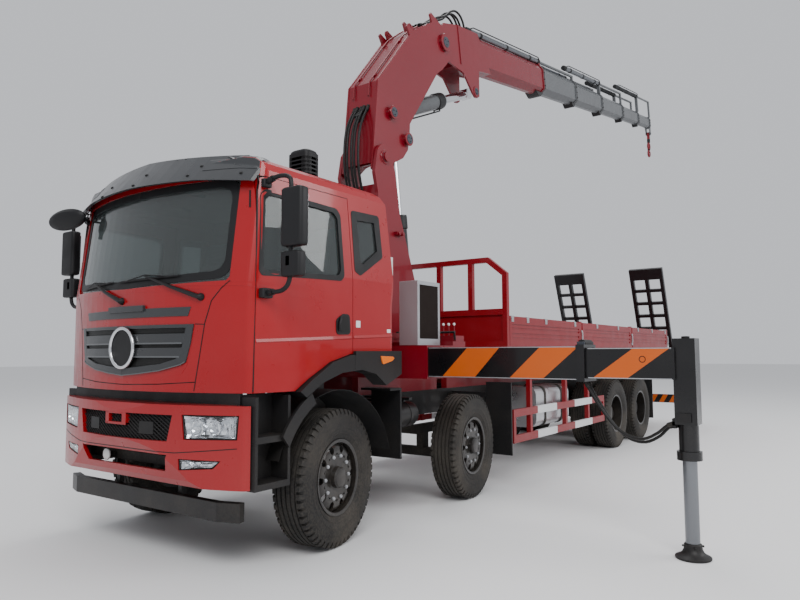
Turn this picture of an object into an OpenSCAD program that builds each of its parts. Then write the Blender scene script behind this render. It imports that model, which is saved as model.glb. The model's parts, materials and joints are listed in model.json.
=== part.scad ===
// Knuckle-boom crane on an 8x4 cab-over flatbed truck.
// Millimetres. +X forward, +Y to the vehicle's left, +Z up.
// The modules draw in a working frame with its origin on the ground under the front axle.
// home() then slides each piece along X, so that the whole is centred on the origin.

/* [Wheels and axles] */
// Outer diameter of every tyre
tyre_d = 1085; // [950:1:1100]
// Width of one tyre
tyre_w = 290; // [240:1:310]
// Diameter of the rim's flange
rim_d = 598; // [540:1:640]
// Distance from the front axle back to the second steered axle
axle_2 = 2200; // [2100:1:2300]
// Distance from the front axle back to the first driven axle
axle_3 = 6800; // [6600:1:6900]
// Distance from the front axle back to the last driven axle
axle_4 = 8150; // [8000:1:8300]
// Half the track of the steered wheels
front_track = 1029; // [1000:1:1040]
// Half the distance between the middles of two twin wheels
twin_track = 928; // [900:1:935]
// Distance between the two wheels of a twin
twin_pitch = 330; // [325:1:345]
// Angle of the first axle's wheels to the left as parked
steer_1 = 8.2; // [0:0.1:12]
// Angle of the second axle's wheels to the left as parked
steer_2 = 5.6; // [0:0.1:9]

/* [Chassis] */
// Height of the frame rails' top flange
frame_top = 1100; // [1080:1:1110]
// Depth of a frame rail
frame_h = 270; // [220:1:290]
// Half the width over the frame rails
frame_half = 432; // [410:1:440]
// Front end of the frame rails
frame_front = 960; // [930:1:970]
// Rear end of the frame rails
frame_rear = -10600; // [-10700:1:-10500]

/* [Cab] */
// Foremost point of the cab's front wall
cab_front = 1150; // [1120:1:1160]
// Rear wall of the cab
cab_rear = -695; // [-720:1:-640]
// Half the width of the cab at the belt line
cab_half = 1220; // [1200:1:1230]
// Underside of the cab at its front edge
cab_under = 1250; // [1245:1:1280]
// Height of the belt line, where the windscreen starts to lean
cab_belt = 2030; // [2000:1:2060]
// Height of the roof
cab_roof = 2965; // [2900:1:3000]
// Backward lean of the windscreen
cab_lean = 7.2; // [4:0.1:9]
// Thickness of the cab's walls and doors
wall = 45; // [35:1:50]
// Gap around each door
door_gap = 6; // [5:0.5:8]

/* [Bed] */
// Height of the load bed's floor
deck_top = 1600; // [1580:1:1620]
// Front edge of the load bed
bed_front = -2845; // [-2860:1:-2830]
// Rear edge of the level part of the load bed
bed_rear = -10050; // [-10100:1:-9950]
// Half the width over the dropsides
bed_half = 1250; // [1240:1:1260]
// Height of a dropside
side_h = 345; // [300:1:380]
// Rear edge of the sloping tail
tail_rear = -10905; // [-10950:1:-10880]
// Height of the tail's rear edge
tail_top = 1285; // [1260:1:1300]
// Length of a loading ramp from its hinge
ramp_len = 2190; // [1900:1:2300]
// Width of a loading ramp
ramp_w = 668; // [600:1:700]
// Forward lean of a standing ramp
ramp_lean = 22.7; // [18:0.1:25]

/* [Crane] */
// Position along X of the slewing axis
slew_x = -2030; // [-2060:1:-2010]
// Height of the main boom's pivot
pivot_z = 3725; // [3650:1:3800]
// Distance of the main boom's pivot in front of the slewing axis
pivot_out = 200; // [180:1:220]
// Length of the main boom from pivot to elbow
main_len = 2322; // [2200:1:2400]
// Angle of the main boom above the horizontal
main_tilt = 53.84; // [50:0.01:58]
// Width over the main boom's side plates
main_w = 440; // [420:1:460]
// Angle of the outer boom above the horizontal
outer_tilt = 10; // [8:0.1:14]
// Length of the outer boom's box from the elbow to its open end
outer_len = 3540; // [3400:1:3700]
// Width of the outer boom's box
outer_w = 310; // [300:1:320]
// Height of the outer boom's box
outer_h = 506; // [500:1:520]
// Wall of every telescopic box
box_wall = 10; // [8:1:12]
// Running gap between two telescopic boxes
box_gap = 6; // [5:0.5:7]

/* [Outriggers] */
// Distance from the vehicle's middle to a jack when it is out
jack_out = 3500; // [3300:1:3600]
// Distance from the vehicle's middle to the end of the fixed housing
housing_half = 1250; // [1230:1:1260]
// End of the first sliding beam when it is out
beam_1_out = 2755; // [2650:1:2800]
// Position along X of the left beam
beam_left_x = -1310; // [-1320:1:-1300]
// Distance between the two beams along X
beam_pitch = 300; // [298:1:310]
// Width of the first sliding beam
beam_w = 250; // [240:1:252]
// Height of the first sliding beam
beam_h = 272; // [265:1:276]
// Height of the middle of the beams
beam_z = 1438; // [1436:1:1442]

/* [Hidden] */
$fn = 48;
seat = 0.3;              // gap between pieces that rest on each other
pin_gap = 0.3;           // radial running gap at pins
tyre_r = tyre_d / 2;
axle_z = tyre_r;
frame_low = frame_top - frame_h;
kingpin_y = front_track - 60;
sides = [1, -1];

// from the working frame to the frame whose origin is the middle of the footprint
module home() translate([shift, 0, 0]) children();

// moves a left-hand piece to the given side
module on_side(s) mirror([0, s < 0 ? 1 : 0, 0]) children();

// draws a left-hand piece on both sides
module both() for (s = sides) on_side(s) children();

// block between two positions along each axis
module block(x, y, z)
    translate([x[0], y[0], z[0]]) cube([x[1] - x[0], y[1] - y[0], z[1] - z[0]]);

// round bar along Y through the point (x, z)
module bar_y(x, z, r, y)
    translate([x, y[0], z]) rotate([-90, 0, 0]) cylinder(r = r, h = y[1] - y[0]);

// plate of an XZ outline between two positions along Y
module plate_y(outline, y)
    translate([0, y[1], 0]) rotate([90, 0, 0]) linear_extrude(y[1] - y[0]) polygon(outline);

// plate of a YZ outline between two positions along X
module plate_x(outline, x)
    translate([x[0], 0, 0]) rotate([90, 0, 90]) linear_extrude(x[1] - x[0]) polygon(outline);

// points along an arc about (c) from angle a to angle b
function arc(c, r, a, b, n) =
    [for (i = [0:n]) c + r * [cos(a + (b - a) * i / n), sin(a + (b - a) * i / n)]];

// ---------------------------------------------------------------- wheels

tyre_inner_r = rim_d / 2 - 14;
rim_r = tyre_inner_r - seat;
hub_bore = 45;

// tyre about Y, centred on its own middle
module tyre() {
    w = tyre_w / 2;
    tread = w - 32;
    rotate([90, 0, 0]) rotate_extrude($fn = 96) polygon([
        [tyre_inner_r, -w + 38], [rim_d / 2 + 12, -w + 24], [rim_d / 2 + 60, -w + 6],
        [tyre_r - 110, -w], [tyre_r - 42, -w + 8], [tyre_r - 8, -tread], [tyre_r, -tread + 26],
        [tyre_r, tread - 26], [tyre_r - 8, tread], [tyre_r - 42, w - 8], [tyre_r - 110, w],
        [rim_d / 2 + 60, w - 6], [rim_d / 2 + 12, w - 24], [tyre_inner_r, w - 38]]);
}

// rim about Y with a disc of the given profile, columns radius and place along Y
module rim(disc) {
    w = tyre_w / 2 - 23;
    seat_w = tyre_w / 2 - 37.6;
    shell = 12;
    rotate([-90, 0, 0]) rotate_extrude($fn = 96) polygon([
        [rim_r - shell, -w], [rim_d / 2, -w], [rim_d / 2, -w + 7], [rim_r, -seat_w],
        [rim_r, seat_w], [rim_d / 2, w - 7], [rim_d / 2, w], [rim_r - shell, w]]);
    difference() {
        rotate([-90, 0, 0]) rotate_extrude($fn = 96) polygon(disc);
        for (i = [0:9]) rotate([0, 36 * i + 18, 0]) bar_y(rim_r - 72, 0, 22, [-400, 400]);
    }
}

// dished disc from the hub plane at y0 to the rim shell at y1, s pointing to the shell
function dish(y0, y1, s) = [
    [60, y0], [rim_r - 90, y0], [rim_r - 6, y1 - s * 7], [rim_r - 6, y1 + s * 9],
    [rim_r - 96, y0 + s * 14], [60, y0 + s * 14]];

// steered wheel on the left, centred on its own middle
module steered_wheel() {
    color("black") tyre();
    color("dimgray") difference() {
        union() {
            rim(dish(48, 20, 1));
            bar_y(0, 0, 112, [20, 130]);
            bar_y(0, 0, 148, [40, 72]);
            for (i = [0:9]) rotate([0, 36 * i, 0]) bar_y(167, 0, 15, [60, 92]);
        }
        bar_y(0, 0, hub_bore + pin_gap, [19, 100]);
    }
}

// twin wheels on the left, centred between the two tyres
module twin_wheel() {
    p = twin_pitch / 2;
    for (s = sides) translate([0, s * p, 0]) color("black") tyre();
    color("dimgray") difference() {
        union() {
            translate([0, p, 0]) rim(dish(-p, -p + 62, 1));
            translate([0, -p, 0]) rim(dish(p, p - 62, -1));
            bar_y(0, 0, 118, [-60, 210]);
            for (i = [0:9]) rotate([0, 36 * i, 0]) bar_y(167, 0, 15, [5, 44]);
        }
        bar_y(0, 0, hub_bore + pin_gap, [-61, 180]);
    }
}

module place_steered(s, axle, steer)
    on_side(s) translate([-axle, kingpin_y, axle_z]) rotate([0, 0, s * steer])
        translate([0, front_track - kingpin_y, 0]) children();

module wheel_1(s) home() place_steered(s, 0, steer_1) steered_wheel();
module wheel_2(s) home() place_steered(s, axle_2, steer_2) steered_wheel();
module wheel_3(s) home() on_side(s) translate([-axle_3, twin_track, axle_z]) twin_wheel();
module wheel_4(s) home() on_side(s) translate([-axle_4, twin_track, axle_z]) twin_wheel();

// knuckle: fork round the kingpin and the spindle that carries the hub
fist_r = 52;
fork_gap = 1.5;
module knuckle(s, axle, steer) home() color("dimgray")
    on_side(s) translate([-axle, kingpin_y, axle_z]) rotate([0, 0, s * steer]) {
        difference() {
            union() {
                for (z = [fist_r + fork_gap, -fist_r - fork_gap - 36])
                    translate([0, 0, z]) cylinder(r = 50, h = 36);
                block([-45, 45], [-20, 30], [fist_r + fork_gap, fist_r + fork_gap + 36]);
                block([-45, 45], [-20, 30], [-fist_r - fork_gap - 36, -fist_r - fork_gap]);
                block([-50, 50], [fist_r + 2, fist_r + 24], [-fist_r - 37, fist_r + 37]);
                block([-45, 45], [29, fist_r + 3], [fist_r + fork_gap, fist_r + 37]);
                block([-45, 45], [29, fist_r + 3], [-fist_r - 37, -fist_r - fork_gap]);
            }
            translate([0, 0, -fist_r - 40]) cylinder(r = 20 + 2 * pin_gap, h = 2 * fist_r + 80);
        }
        bar_y(0, 0, hub_bore, [fist_r + 23, 150]);
    }

// ---------------------------------------------------------------- running gear

module steered_axle(axle) {
    translate([-axle, 0, axle_z]) {
        block([-48, 48], [-700, 700], [-150, -60]);
        both() {
            plate_x([[690, -150], [kingpin_y - 60, -48], [kingpin_y - 40, -48], [kingpin_y - 40, 48],
                     [kingpin_y - 60, 48], [690, -60]],
                    [-48, 48]);
            translate([0, kingpin_y, -fist_r]) cylinder(r = fist_r, h = 2 * fist_r);
            translate([0, kingpin_y, -fist_r - 36]) cylinder(r = 20, h = 2 * fist_r + 72);
            block([-48, 48], [front_track - 150, kingpin_y], [-fist_r + 2, fist_r - 2]);
        }
    }
}

module driven_axle(axle) {
    translate([-axle, 0, axle_z]) {
        bar_y(0, 0, 75, [-660, 660]);
        rotate([0, 90, 0]) cylinder(r = 235, h = 150, center = true);
        translate([74, 0, 20]) rotate([0, 90, 0]) cylinder(r1 = 170, r2 = 95, h = 210);
        both() bar_y(0, 0, hub_bore, [659, twin_track + 150]);
    }
}

spring_y = 505;
spring_w = 80;
leaf_t = 14;
// leaf springs of one axle: stacked leaves on a seat, ends under frame brackets
module springs(axle, half_len, leaves, seat_z) {
    both() translate([-axle, 0, 0]) {
        for (i = [0:leaves - 1]) {
            l = half_len * (1 - i / (leaves + 1));
            block([-l, l], [spring_y - spring_w / 2, spring_y + spring_w / 2],
                  [seat_z + leaf_t * (leaves - 1 - i), seat_z + leaf_t * (leaves - i)]);
        }
        for (x = [-half_len + 40, half_len - 40])
            block([x - 30, x + 30], [frame_half + seat, spring_y + spring_w / 2],
                  [seat_z + leaf_t * leaves, frame_top - 60]);
        block([-60, 60], [spring_y - spring_w / 2, spring_y + spring_w / 2],
              [axle_z - 60 + seat, seat_z]);
    }
}

module axles() home() color([0.12, 0.12, 0.13]) {
    steered_axle(0);
    steered_axle(axle_2);
    driven_axle(axle_3);
    driven_axle(axle_4);
    springs(0, 740, 7, 640);
    springs(axle_2, 740, 7, 640);
    difference() {
        both() {
            mid = -(axle_3 + axle_4) / 2;
            half = (axle_4 - axle_3) / 2;
            for (i = [0:8]) {
                l = half + 40 - i * 62;
                block([mid - l, mid + l], [spring_y - 45, spring_y + 45],
                      [640 + 16 * i, 656 + 16 * i]);
            }
            block([mid - 110, mid + 110], [frame_half + seat, spring_y + 45], [784, 1040]);
            for (x = [-axle_3, -axle_4])
                block([x - 50, x + 50], [spring_y - 45, spring_y + 45], [axle_z, 641]);
        }
        for (x = [-axle_3, -axle_4]) bar_y(x, axle_z, 75 + seat, [-700, 700]);
    }
}

// ---------------------------------------------------------------- chassis

rail_t = 8;
tow_x = 1000;
tow_y = -180;
tow_z = 760;
tow_r = 25;
rail_flange = 80;
cross_members = [880, -760, -1450, -2900, -3900, -4900, -5900, -7475, -8800, -9700, -10500];

module chassis_frame() home() color([0.09, 0.09, 0.1]) {
    both() plate_x([
        [frame_half, frame_low], [frame_half, frame_top], [frame_half - rail_flange, frame_top],
        [frame_half - rail_flange, frame_top - rail_t], [frame_half - rail_t, frame_top - rail_t],
        [frame_half - rail_t, frame_low + rail_t], [frame_half - rail_flange, frame_low + rail_t],
        [frame_half - rail_flange, frame_low]], [frame_rear, frame_front]);
    for (x = cross_members)
        block([x - 35, x + 35], [-frame_half + rail_t + seat, frame_half - rail_t - seat],
              [frame_low + 40, frame_top - 40]);
    // posts under the cab
    both() {
        block([855, 912], [frame_half - rail_flange, frame_half],
              [frame_top + seat, cab_under - seat]);
        block([-640, -560], [frame_half - rail_flange, frame_half],
              [frame_top + seat, cab_under + 285]);
    }
    // block with the socket for a tow eye, hung from the front cross member
    difference() {
        block([tow_x - 150, tow_x], [tow_y - 60, tow_y + 60], [tow_z - 55, frame_low + 41]);
        translate([tow_x - 120, tow_y, tow_z]) rotate([0, 90, 0]) cylinder(r = tow_r, h = 121);
    }
}

module engine_block() home() color("gray")
{
    inner = frame_half - rail_flange - seat;
    block([-620, 560], [-inner, inner], [frame_low - 190, frame_top - 45]);
    // feet on the rails' lower flanges
    for (x = [-480, 380])
        block([x, x + 90], [-frame_half + rail_t + seat, frame_half - rail_t - seat],
              [frame_low + rail_t + seat, frame_low + 90]);
}

tank_x = [-5060, -3960];
tank_z = [560, 1080];
// round-cornered tank on two brackets
module fuel_tank() home() color("silver") {
    r = 110;
    y = [560, 1090];
    plate_x(concat(
        arc([y[1] - r, tank_z[1] - r], r, 0, 90, 6), arc([y[0] + r, tank_z[1] - r], r, 90, 180, 6),
        arc([y[0] + r, tank_z[0] + r], r, 180, 270, 6),
        arc([y[1] - r, tank_z[0] + r], r, 270, 360, 6)), tank_x);
    for (x = [tank_x[0] + 220, tank_x[1] - 280])
        block([x, x + 60], [frame_half + seat, y[0] + 20], [frame_low + 20, frame_low + 120]);
}

guard_x = [-6235, -3070];
guard_y = 1205;
// side guards: a low lattice hung from the bed's edge beam
module side_guards() home() color("firebrick") both() {
    rail = 90;
    zs = [470, 770];
    for (z = zs)
        block(guard_x, [guard_y - 35, guard_y], [z, z + rail]);
    for (x = [guard_x[0], guard_x[1] - 60])
        block([x, x + 60], [guard_y - 35, guard_y], [zs[0], zs[1] + rail]);
    for (x = [-5600, -4740, -3600])
        block([x, x + 60], [guard_y - 60, guard_y - 5], [zs[0], deck_top - 160 - seat]);
}

// ---------------------------------------------------------------- mudguards and steps

tread_x = [578, 913];
tread_y = [1012, 1205];
module mudguards() home() color([0.07, 0.07, 0.08]) {
    both() {
        // entry steps under each door
        for (z = [585, 905]) {
            block(tread_x, [tread_y[0] + 25 + seat, tread_y[1]], [z, z + 45]);
            for (x = [tread_x[0], tread_x[1] - 25])
                block([x, x + 25], [tread_y[0] + 25 + seat, tread_y[1]], [z + 45 + seat, z + 319]);
        }
        block(tread_x, [tread_y[0], tread_y[0] + 25], [585, 1235]);
        block([880, 920], [frame_half + seat, tread_y[0] + 1], [frame_low + 60, frame_top - 60]);
        // flap behind the first wheel
        block([-812, -790], [880, 1205], [590, 1215]);
        block([-812, -640], [880, 1205], [1195, 1215]);
        block([-812, -770], [frame_half + seat, 881], [1000, 1060]);
        // flap behind the second wheel
        block([-3010, -2985], [890, 1215], [345, 1180]);
        block([-3010, -2970], [frame_half + seat, 891], [1000, 1060]);
        // flap behind the last wheels
        block([-8905, -8880], [640, 1225], [300, 1180]);
        block([-8905, -8860], [frame_half + seat, 641], [1000, 1060]);
    }
}

// ---------------------------------------------------------------- bumper and guards

bumper_front = 1195;
bumper_top = 1165;
bumper_low = 595;
bumper_r = 2950;
bumper_end = 925;
bumper_half = 1180;

module bumper_plan(t) {
    rc = 95;
    yc = bumper_half - rc;
    xc = bumper_front - bumper_r;
    a = asin(yc / (bumper_r - rc));
    c = [xc + (bumper_r - rc) * cos(a), yc];
    half = concat(arc([xc, 0], bumper_r - t, 0, a, 12), arc(c, rc - t, a, 88, 6),
                  [[bumper_end - 65, bumper_half - t]]);
    polygon(concat(half, [for (i = [len(half) - 1:-1:1]) [half[i][0], -half[i][1]]]));
}

module bumper_form(t) intersection() {
    linear_extrude(bumper_top + 10) bumper_plan(t);
    plate_y([[bumper_end + (t > 0 ? -1 : 0), bumper_low + t], [1068 - t, bumper_low + t],
             [1100 - t, 640], [1162 - t, 835], [1195 - t, 905], [1195 - t, 1110],
             [1175 - t, bumper_top - t], [bumper_end + (t > 0 ? -1 : 0), bumper_top - t]],
            [-1300, 1300]);
}

// lamps and grilles in the bumper: outlines in Y and Z, with c taken off all round
function head_lamp_outline(c) =
    [[690 + c, 925 + c], [1100 - c, 935 + c], [1112 - c, 1100 - c], [672 + c, 1098 - c]];
function fog_lamp_outline(c) =
    [[655 + c, 712 + c], [930 - c, 735 + c], [985 - c, 790 - c], [648 + c, 790 - c]];

module bumper() home() color("crimson") difference() {
    union() {
        difference() {
            bumper_form(0);
            bumper_form(32);
        }
        both() intersection() {
            block([frame_front + seat, 1180], [360, 424], [frame_low + 2, 900]);
            bumper_form(10);
        }
    }
    both() {
        plate_x(head_lamp_outline(0), [bumper_end - 2, 1400]);
        plate_x(fog_lamp_outline(0), [bumper_end - 2, 1400]);
    }
    plate_x([[-545, 905], [545, 905], [590, 1092], [-590, 1092]], [1000, 1400]);
    plate_x([[-500, 690], [500, 690], [545, 812], [-545, 812]], [1000, 1400]);
}

module front_lamps() home() color("white") both() intersection() {
    difference() {
        bumper_form(3);
        bumper_form(70);
    }
    union() {
        plate_x(head_lamp_outline(seat), [bumper_end, 1400]);
        plate_x(fog_lamp_outline(seat), [bumper_end, 1400]);
    }
}

module underrun_guards() home() color([0.15, 0.15, 0.16]) {
    // front bar with ends bent back
    translate([0, 0, 365]) linear_extrude(131) polygon([
        [985, -900], [985, 900], [925, 1073], [868, 1055], [925, 880], [925, -880],
        [868, -1055], [925, -1073]]);
    both() block([frame_front - 85, frame_front - 45], [380, 420], [430, frame_low - seat]);
    both() block([frame_front - 85, 930], [380, 420], [400, 470]);
    // rear bar
    block([-10640, -10580], [-1215, 1215], [470, 640]);
    both() block([-10600, -10500], [370, 420], [560, frame_low - seat]);
}

// ---------------------------------------------------------------- load bed

side_t = 28;
panels = 3;
panel_len = (bed_front - bed_rear) / panels;
function panel_x(i) = bed_rear + 30 + i * panel_len;
ramp_t = 90;
ramp_y = 495;
ramp_pin = 20;
deck_half = 1188;
deck_t = 5;
ramp_z = tail_top - 60;
ramp_x = tail_rear - 60 * tan(ramp_lean) - ramp_t / 2 / cos(ramp_lean) - 8;

module bed_floor() home() color([0.5, 0.1, 0.1]) {
    edge = bed_half - 7;
    low = deck_top - 160;
    block([bed_rear, bed_front], [-edge, edge], [deck_top - 30, deck_top]);
    // chequered plate between the sides
    block([bed_rear + 5, bed_front - 70], [-deck_half, deck_half], [deck_top - 1, deck_top + deck_t]);
    pitch = (bed_front - bed_rear - 80) / 16;
    for (i = [0:16])
        block([bed_rear + i * pitch, bed_rear + i * pitch + 80], [-edge, edge], [low, deck_top - 30]);
    both() {
        block([bed_rear, bed_front], [edge - 50, edge], [low, deck_top - 30]);
        // sills on the frame rails
        block([bed_rear, bed_front], [frame_half - 75, frame_half], [frame_top + seat, low - seat]);
        // posts between the dropsides
        for (i = [0:panels - 1])
            block([panel_x(i) - 30, panel_x(i) + 30], [edge - 45, edge],
                  [deck_top + seat, deck_top + side_h + 15]);
    }
    // sloping tail
    translate([-seat, 0, 0]) {
        plate_y([[bed_rear, deck_top], [bed_rear, deck_top - 30], [tail_rear, tail_top - 30],
                 [tail_rear, tail_top]], [-edge, edge]);
        block([tail_rear, tail_rear + 60], [-edge, edge], [tail_top - 130, tail_top - 25]);
        both() for (y = [[edge - 50, edge], [frame_half - 75, frame_half]])
            plate_y([[bed_rear, deck_top], [bed_rear, low], [tail_rear, tail_top - 130],
                     [tail_rear, tail_top]], y);
    }
    // hinge pin and lugs of each ramp
    both() {
        bar_y(ramp_x, ramp_z, ramp_pin, [ramp_y - 22, ramp_y + ramp_w + 22]);
        for (y = [ramp_y - 22, ramp_y + ramp_w + 8])
            block([ramp_x - 30, tail_rear - 2 * seat], [y, y + 14], [ramp_z - 40, ramp_z + 30]);
    }
}

post = 60;
head_top = 2640;
head_shoulder = 2445;
head_low = 2030;
module headboard() home() color("firebrick") translate([bed_front - post, 0, 0]) {
    x = [0, post];
    both() {
        block(x, [bed_half - post, bed_half], [deck_top + seat, head_shoulder]);
        plate_x([[bed_half, head_shoulder - 1], [1010, head_top], [985, head_top - post],
                 [bed_half - post, head_shoulder - 30]], x);
        for (y = [300, 740]) block(x, [y, y + post], [head_low, head_top - 10]);
    }
    block(x, [-1010, 1010], [head_top - post, head_top]);
    block(x, [-bed_half + 1, bed_half - 1], [head_low - 70, head_low]);
    block([20, 32], [-bed_half + 1, bed_half - 1], [deck_top + seat, head_low - 69]);
    block(x, [-bed_half + 1, bed_half - 1], [deck_top + seat, deck_top + 60]);
}

// three dropside panels of one side, hinged along their lower edge
module dropside(s) home() color("crimson") on_side(s) {
    for (i = [0:panels - 1]) {
        x = [panel_x(i) + 38, panel_x(i) + panel_len - (i == panels - 1 ? 100 : 38)];
        z = [deck_top + 0.4, deck_top + side_h];
        block(x, [bed_half - side_t, bed_half - 10], z);
        for (e = [[z[0], z[0] + 70], [z[0] + 150, z[0] + 190], [z[1] - 90, z[1]]])
            block(x, [bed_half - side_t, bed_half], e);
        for (e = [[x[0], x[0] + 60], [x[1] - 60, x[1]]])
            block(e, [bed_half - side_t, bed_half], z);
    }
}

// ladder of flat bars standing on the tail's rear edge
module ramp(s) home() color([0.06, 0.06, 0.07]) on_side(s)
    translate([ramp_x, ramp_y, ramp_z]) rotate([0, ramp_lean, 0]) {
        n = 7;
        rail = 70;
        rung = 60;
        top_plate = 230;
        pitch = (ramp_len - top_plate) / n;
        difference() {
            union() {
                for (y = [0, (ramp_w - rail) / 2, ramp_w - rail])
                    block([-ramp_t / 2, ramp_t / 2], [y, y + rail], [-40, ramp_len]);
                for (i = [0:n - 1])
                    block([-ramp_t / 2 + 15, ramp_t / 2 - 15], [0, ramp_w],
                          [i * pitch, i * pitch + rung]);
                block([-ramp_t / 2, ramp_t / 2], [0, ramp_w], [ramp_len - top_plate, ramp_len]);
            }
            bar_y(0, 0, ramp_pin + pin_gap, [-1, ramp_w + 1]);
        }
    }

// ---------------------------------------------------------------- cab

cab_front_r = 2900;
cab_corner_r = 80;
cab_corner_y = 1075;
cab_side_r = 4180;

// plan of the cab's outer wall with t taken off all round
module cab_plan(t) {
    rc = cab_corner_r;
    xc = cab_front - cab_front_r;
    a = asin(cab_corner_y / (cab_front_r - rc));
    corner = [xc + (cab_front_r - rc) * cos(a), cab_corner_y];
    b = asin((cab_corner_y - cab_half + cab_side_r) / (cab_side_r - rc));
    side_c = [corner[0] - (cab_side_r - rc) * cos(b), cab_half - cab_side_r];
    rear_r = 70;
    half = concat(
        arc([xc, 0], cab_front_r - t, 0, a, 10), arc(corner, rc - t, a, b, 5),
        arc(side_c, cab_side_r - t, b, 90, 5),
        arc([cab_rear + rear_r, cab_half - rear_r], rear_r - t, 90, 180, 4));
    polygon(concat(half, [for (i = [len(half) - 1:-1:1]) [half[i][0], -half[i][1]]]));
}

// underside of the cab from front to rear: floor, wheel arch, rear platform
function cab_belly(t) = [
    [1400, cab_under + t], [530 - t / 2, cab_under + t], [400 - t / 2, cab_under + 85 + t],
    [170, cab_under + 207 + t], [-75, cab_under + 268 + t]];

// solid inside the cab's outer wall, t inside it all round, its floor lowered by drop
module cab_form(t, drop = 0) intersection() {
    union() {
        translate([0, 0, 800]) linear_extrude(cab_belt - 800) cab_plan(t);
        translate([cab_front, 0, cab_belt]) rotate([0, -cab_lean, 0]) translate([-cab_front, 0, -4])
            linear_extrude(1250) cab_plan(t);
    }
    plate_y(concat(cab_belly(t - drop), [
        [cab_rear - 5 + t, cab_under + 290 + t - drop], [cab_rear + 50 + t, cab_roof - 125 - t],
        [cab_rear + 135 + t / 2, cab_roof - 20 - t], [300, cab_roof + 5 - t],
        [840, cab_roof - t], [985 - t, cab_roof - 45 - t],
        [1300 - t, cab_roof - 260 - t], [1400, cab_roof - 400]]), [-1400, 1400]);
    plate_x([[-cab_half - 30 + t, 700], [cab_half + 30 - t, 700],
         [cab_half + 5 - t, cab_belt + 50], [1152 - t, 2850], [1130 - t, 2905 - t],
         [1075 - t, 2945 - t], [980 - t, cab_roof - 5 - t], [0, cab_roof + 25 - t],
         [-980 + t, cab_roof - 5 - t], [-1075 + t, 2945 - t], [-1130 + t, 2905 - t],
         [-1152 + t, 2850], [-cab_half - 5 + t, cab_belt + 50]], [-1400, 1400]);
}

// outlines in X and Z, with c taken off all round
function door_outline(c) = [
    [886 - c, 1000], [874 - c, 2080], [838 - c, 2795 - c], [-105 + c, 2800 - c], [-105 + c, 1000]];
function door_window(c) = [
    [815 - c, 2095 + c], [838 - c, 2130 + c], [812 - c, 2655 - c], [780 - c, 2690 - c],
    [60 + c, 2675 - c], [15 + c, 2630 - c], [15 + c, 2165 + c], [50 + c, 2118 + c]];
function quarter_window(c) = [
    [-155 - c, 2700 - c], [-515 + c, 2712 - c], [-525 + c, 2360 + c], [-215, 2180 + c],
    [-150 - c, 2210 + c]];
// outline in Y and Z
function windscreen(c) = [
    [-985 + c, 2070 + c], [-960 + c, 2042 + c], [0, 2020 + c], [960 - c, 2042 + c],
    [985 - c, 2070 + c], [985 - c, 2800 - c], [-985 + c, 2800 - c]];
// front panel between the corner panels, in Y and Z
function panel_outline(c) = [
    [-720 + c, 1262 + c], [720 - c, 1262 + c], [800 - c, 1740], [850 - c, 1985 - c],
    [-850 + c, 1985 - c], [-800 + c, 1740]];
function grille_outline(c) = [
    [-610 + c, 1395 + c], [-420, 1345 + c], [420, 1345 + c], [610 - c, 1395 + c],
    [716 - c, 1735 - c], [-716 + c, 1735 - c]];

// walls, roof and floor between two depths under the outer surface
module cab_wall(t0, t1) difference() {
    cab_form(t0);
    cab_form(t1);
}

// the same without the floor
module cab_skin(t0, t1) difference() {
    cab_form(t0);
    cab_form(t1, 400);
}

module cab_shell() home() color("crimson") difference() {
    cab_wall(0, wall);
    both() {
        difference() {
            plate_y(door_outline(-door_gap), [1000 - door_gap, 1400]);
            cab_form(wall + door_gap, 400);
        }
        // the floor's edge stands back from the doors' swing
        block([760, 886 + door_gap], [1070, 1180], [cab_under - 1, cab_under + wall + 1]);
        plate_y(quarter_window(0), [1000, 1400]);
    }
    plate_x(windscreen(0), [700, 1400]);
    difference() {
        plate_x(panel_outline(-seat), [900, 1400]);
        cab_form(wall, 400);
    }
}

module front_panel() home() color([0.12, 0.12, 0.13]) {
    difference() {
        intersection() {
            cab_skin(0, 32);
            plate_x(panel_outline(0), [900, 1400]);
        }
        plate_x(grille_outline(0), [900, 1400]);
    }
    intersection() {
        plate_x(grille_outline(-3), [900, 1400]);
        union() {
            cab_skin(34, 44);
            intersection() {
                cab_skin(8, 36);
                for (z = [1420:105:1700]) block([900, 1400], [-760, 760], [z, z + 42]);
            }
        }
    }
    intersection() {
        cab_skin(31, 44);
        difference() {
            plate_x(grille_outline(-3), [900, 1400]);
            plate_x(grille_outline(0), [900, 1400]);
        }
    }
}

glass_in = 14;
glass_t = 6;
module cab_glass() home() color([0.5, 0.6, 0.65, 0.5]) {
    intersection() {
        cab_wall(glass_in, glass_in + glass_t);
        plate_x(windscreen(seat), [700, 1400]);
    }
    both() intersection() {
        cab_wall(glass_in, glass_in + glass_t);
        plate_y(quarter_window(seat), [1000, 1400]);
    }
}

module door(s) home() color("crimson") on_side(s) difference() {
    intersection() {
        cab_skin(0, wall);
        plate_y(door_outline(0), [1000, 1400]);
    }
    plate_y(door_window(0), [900, 1400]);
}

module door_glass(s) home() color([0.5, 0.6, 0.65, 0.5]) on_side(s) intersection() {
    cab_wall(glass_in, glass_in + glass_t);
    plate_y(door_window(seat), [900, 1400]);
}

// rear-view mirrors on one arm, held at the top and bottom of the door's front edge
module mirror_arm(s) home() color([0.06, 0.06, 0.07]) on_side(s) {
    r = 14;
    difference() {
        union() {
            bar_y(800, 2760, r, [1100, 1425]);
            bar_y(815, 1975, r, [1150, 1425]);
        }
        cab_form(-seat);
    }
    translate([808, 1420, 1970]) cylinder(r = r, h = 800);
    translate([760, 1340, 2280]) block([0, 75], [0, 210], [0, 400]);
    translate([760, 1340, 2060]) block([0, 75], [0, 190], [0, 170]);
}

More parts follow.
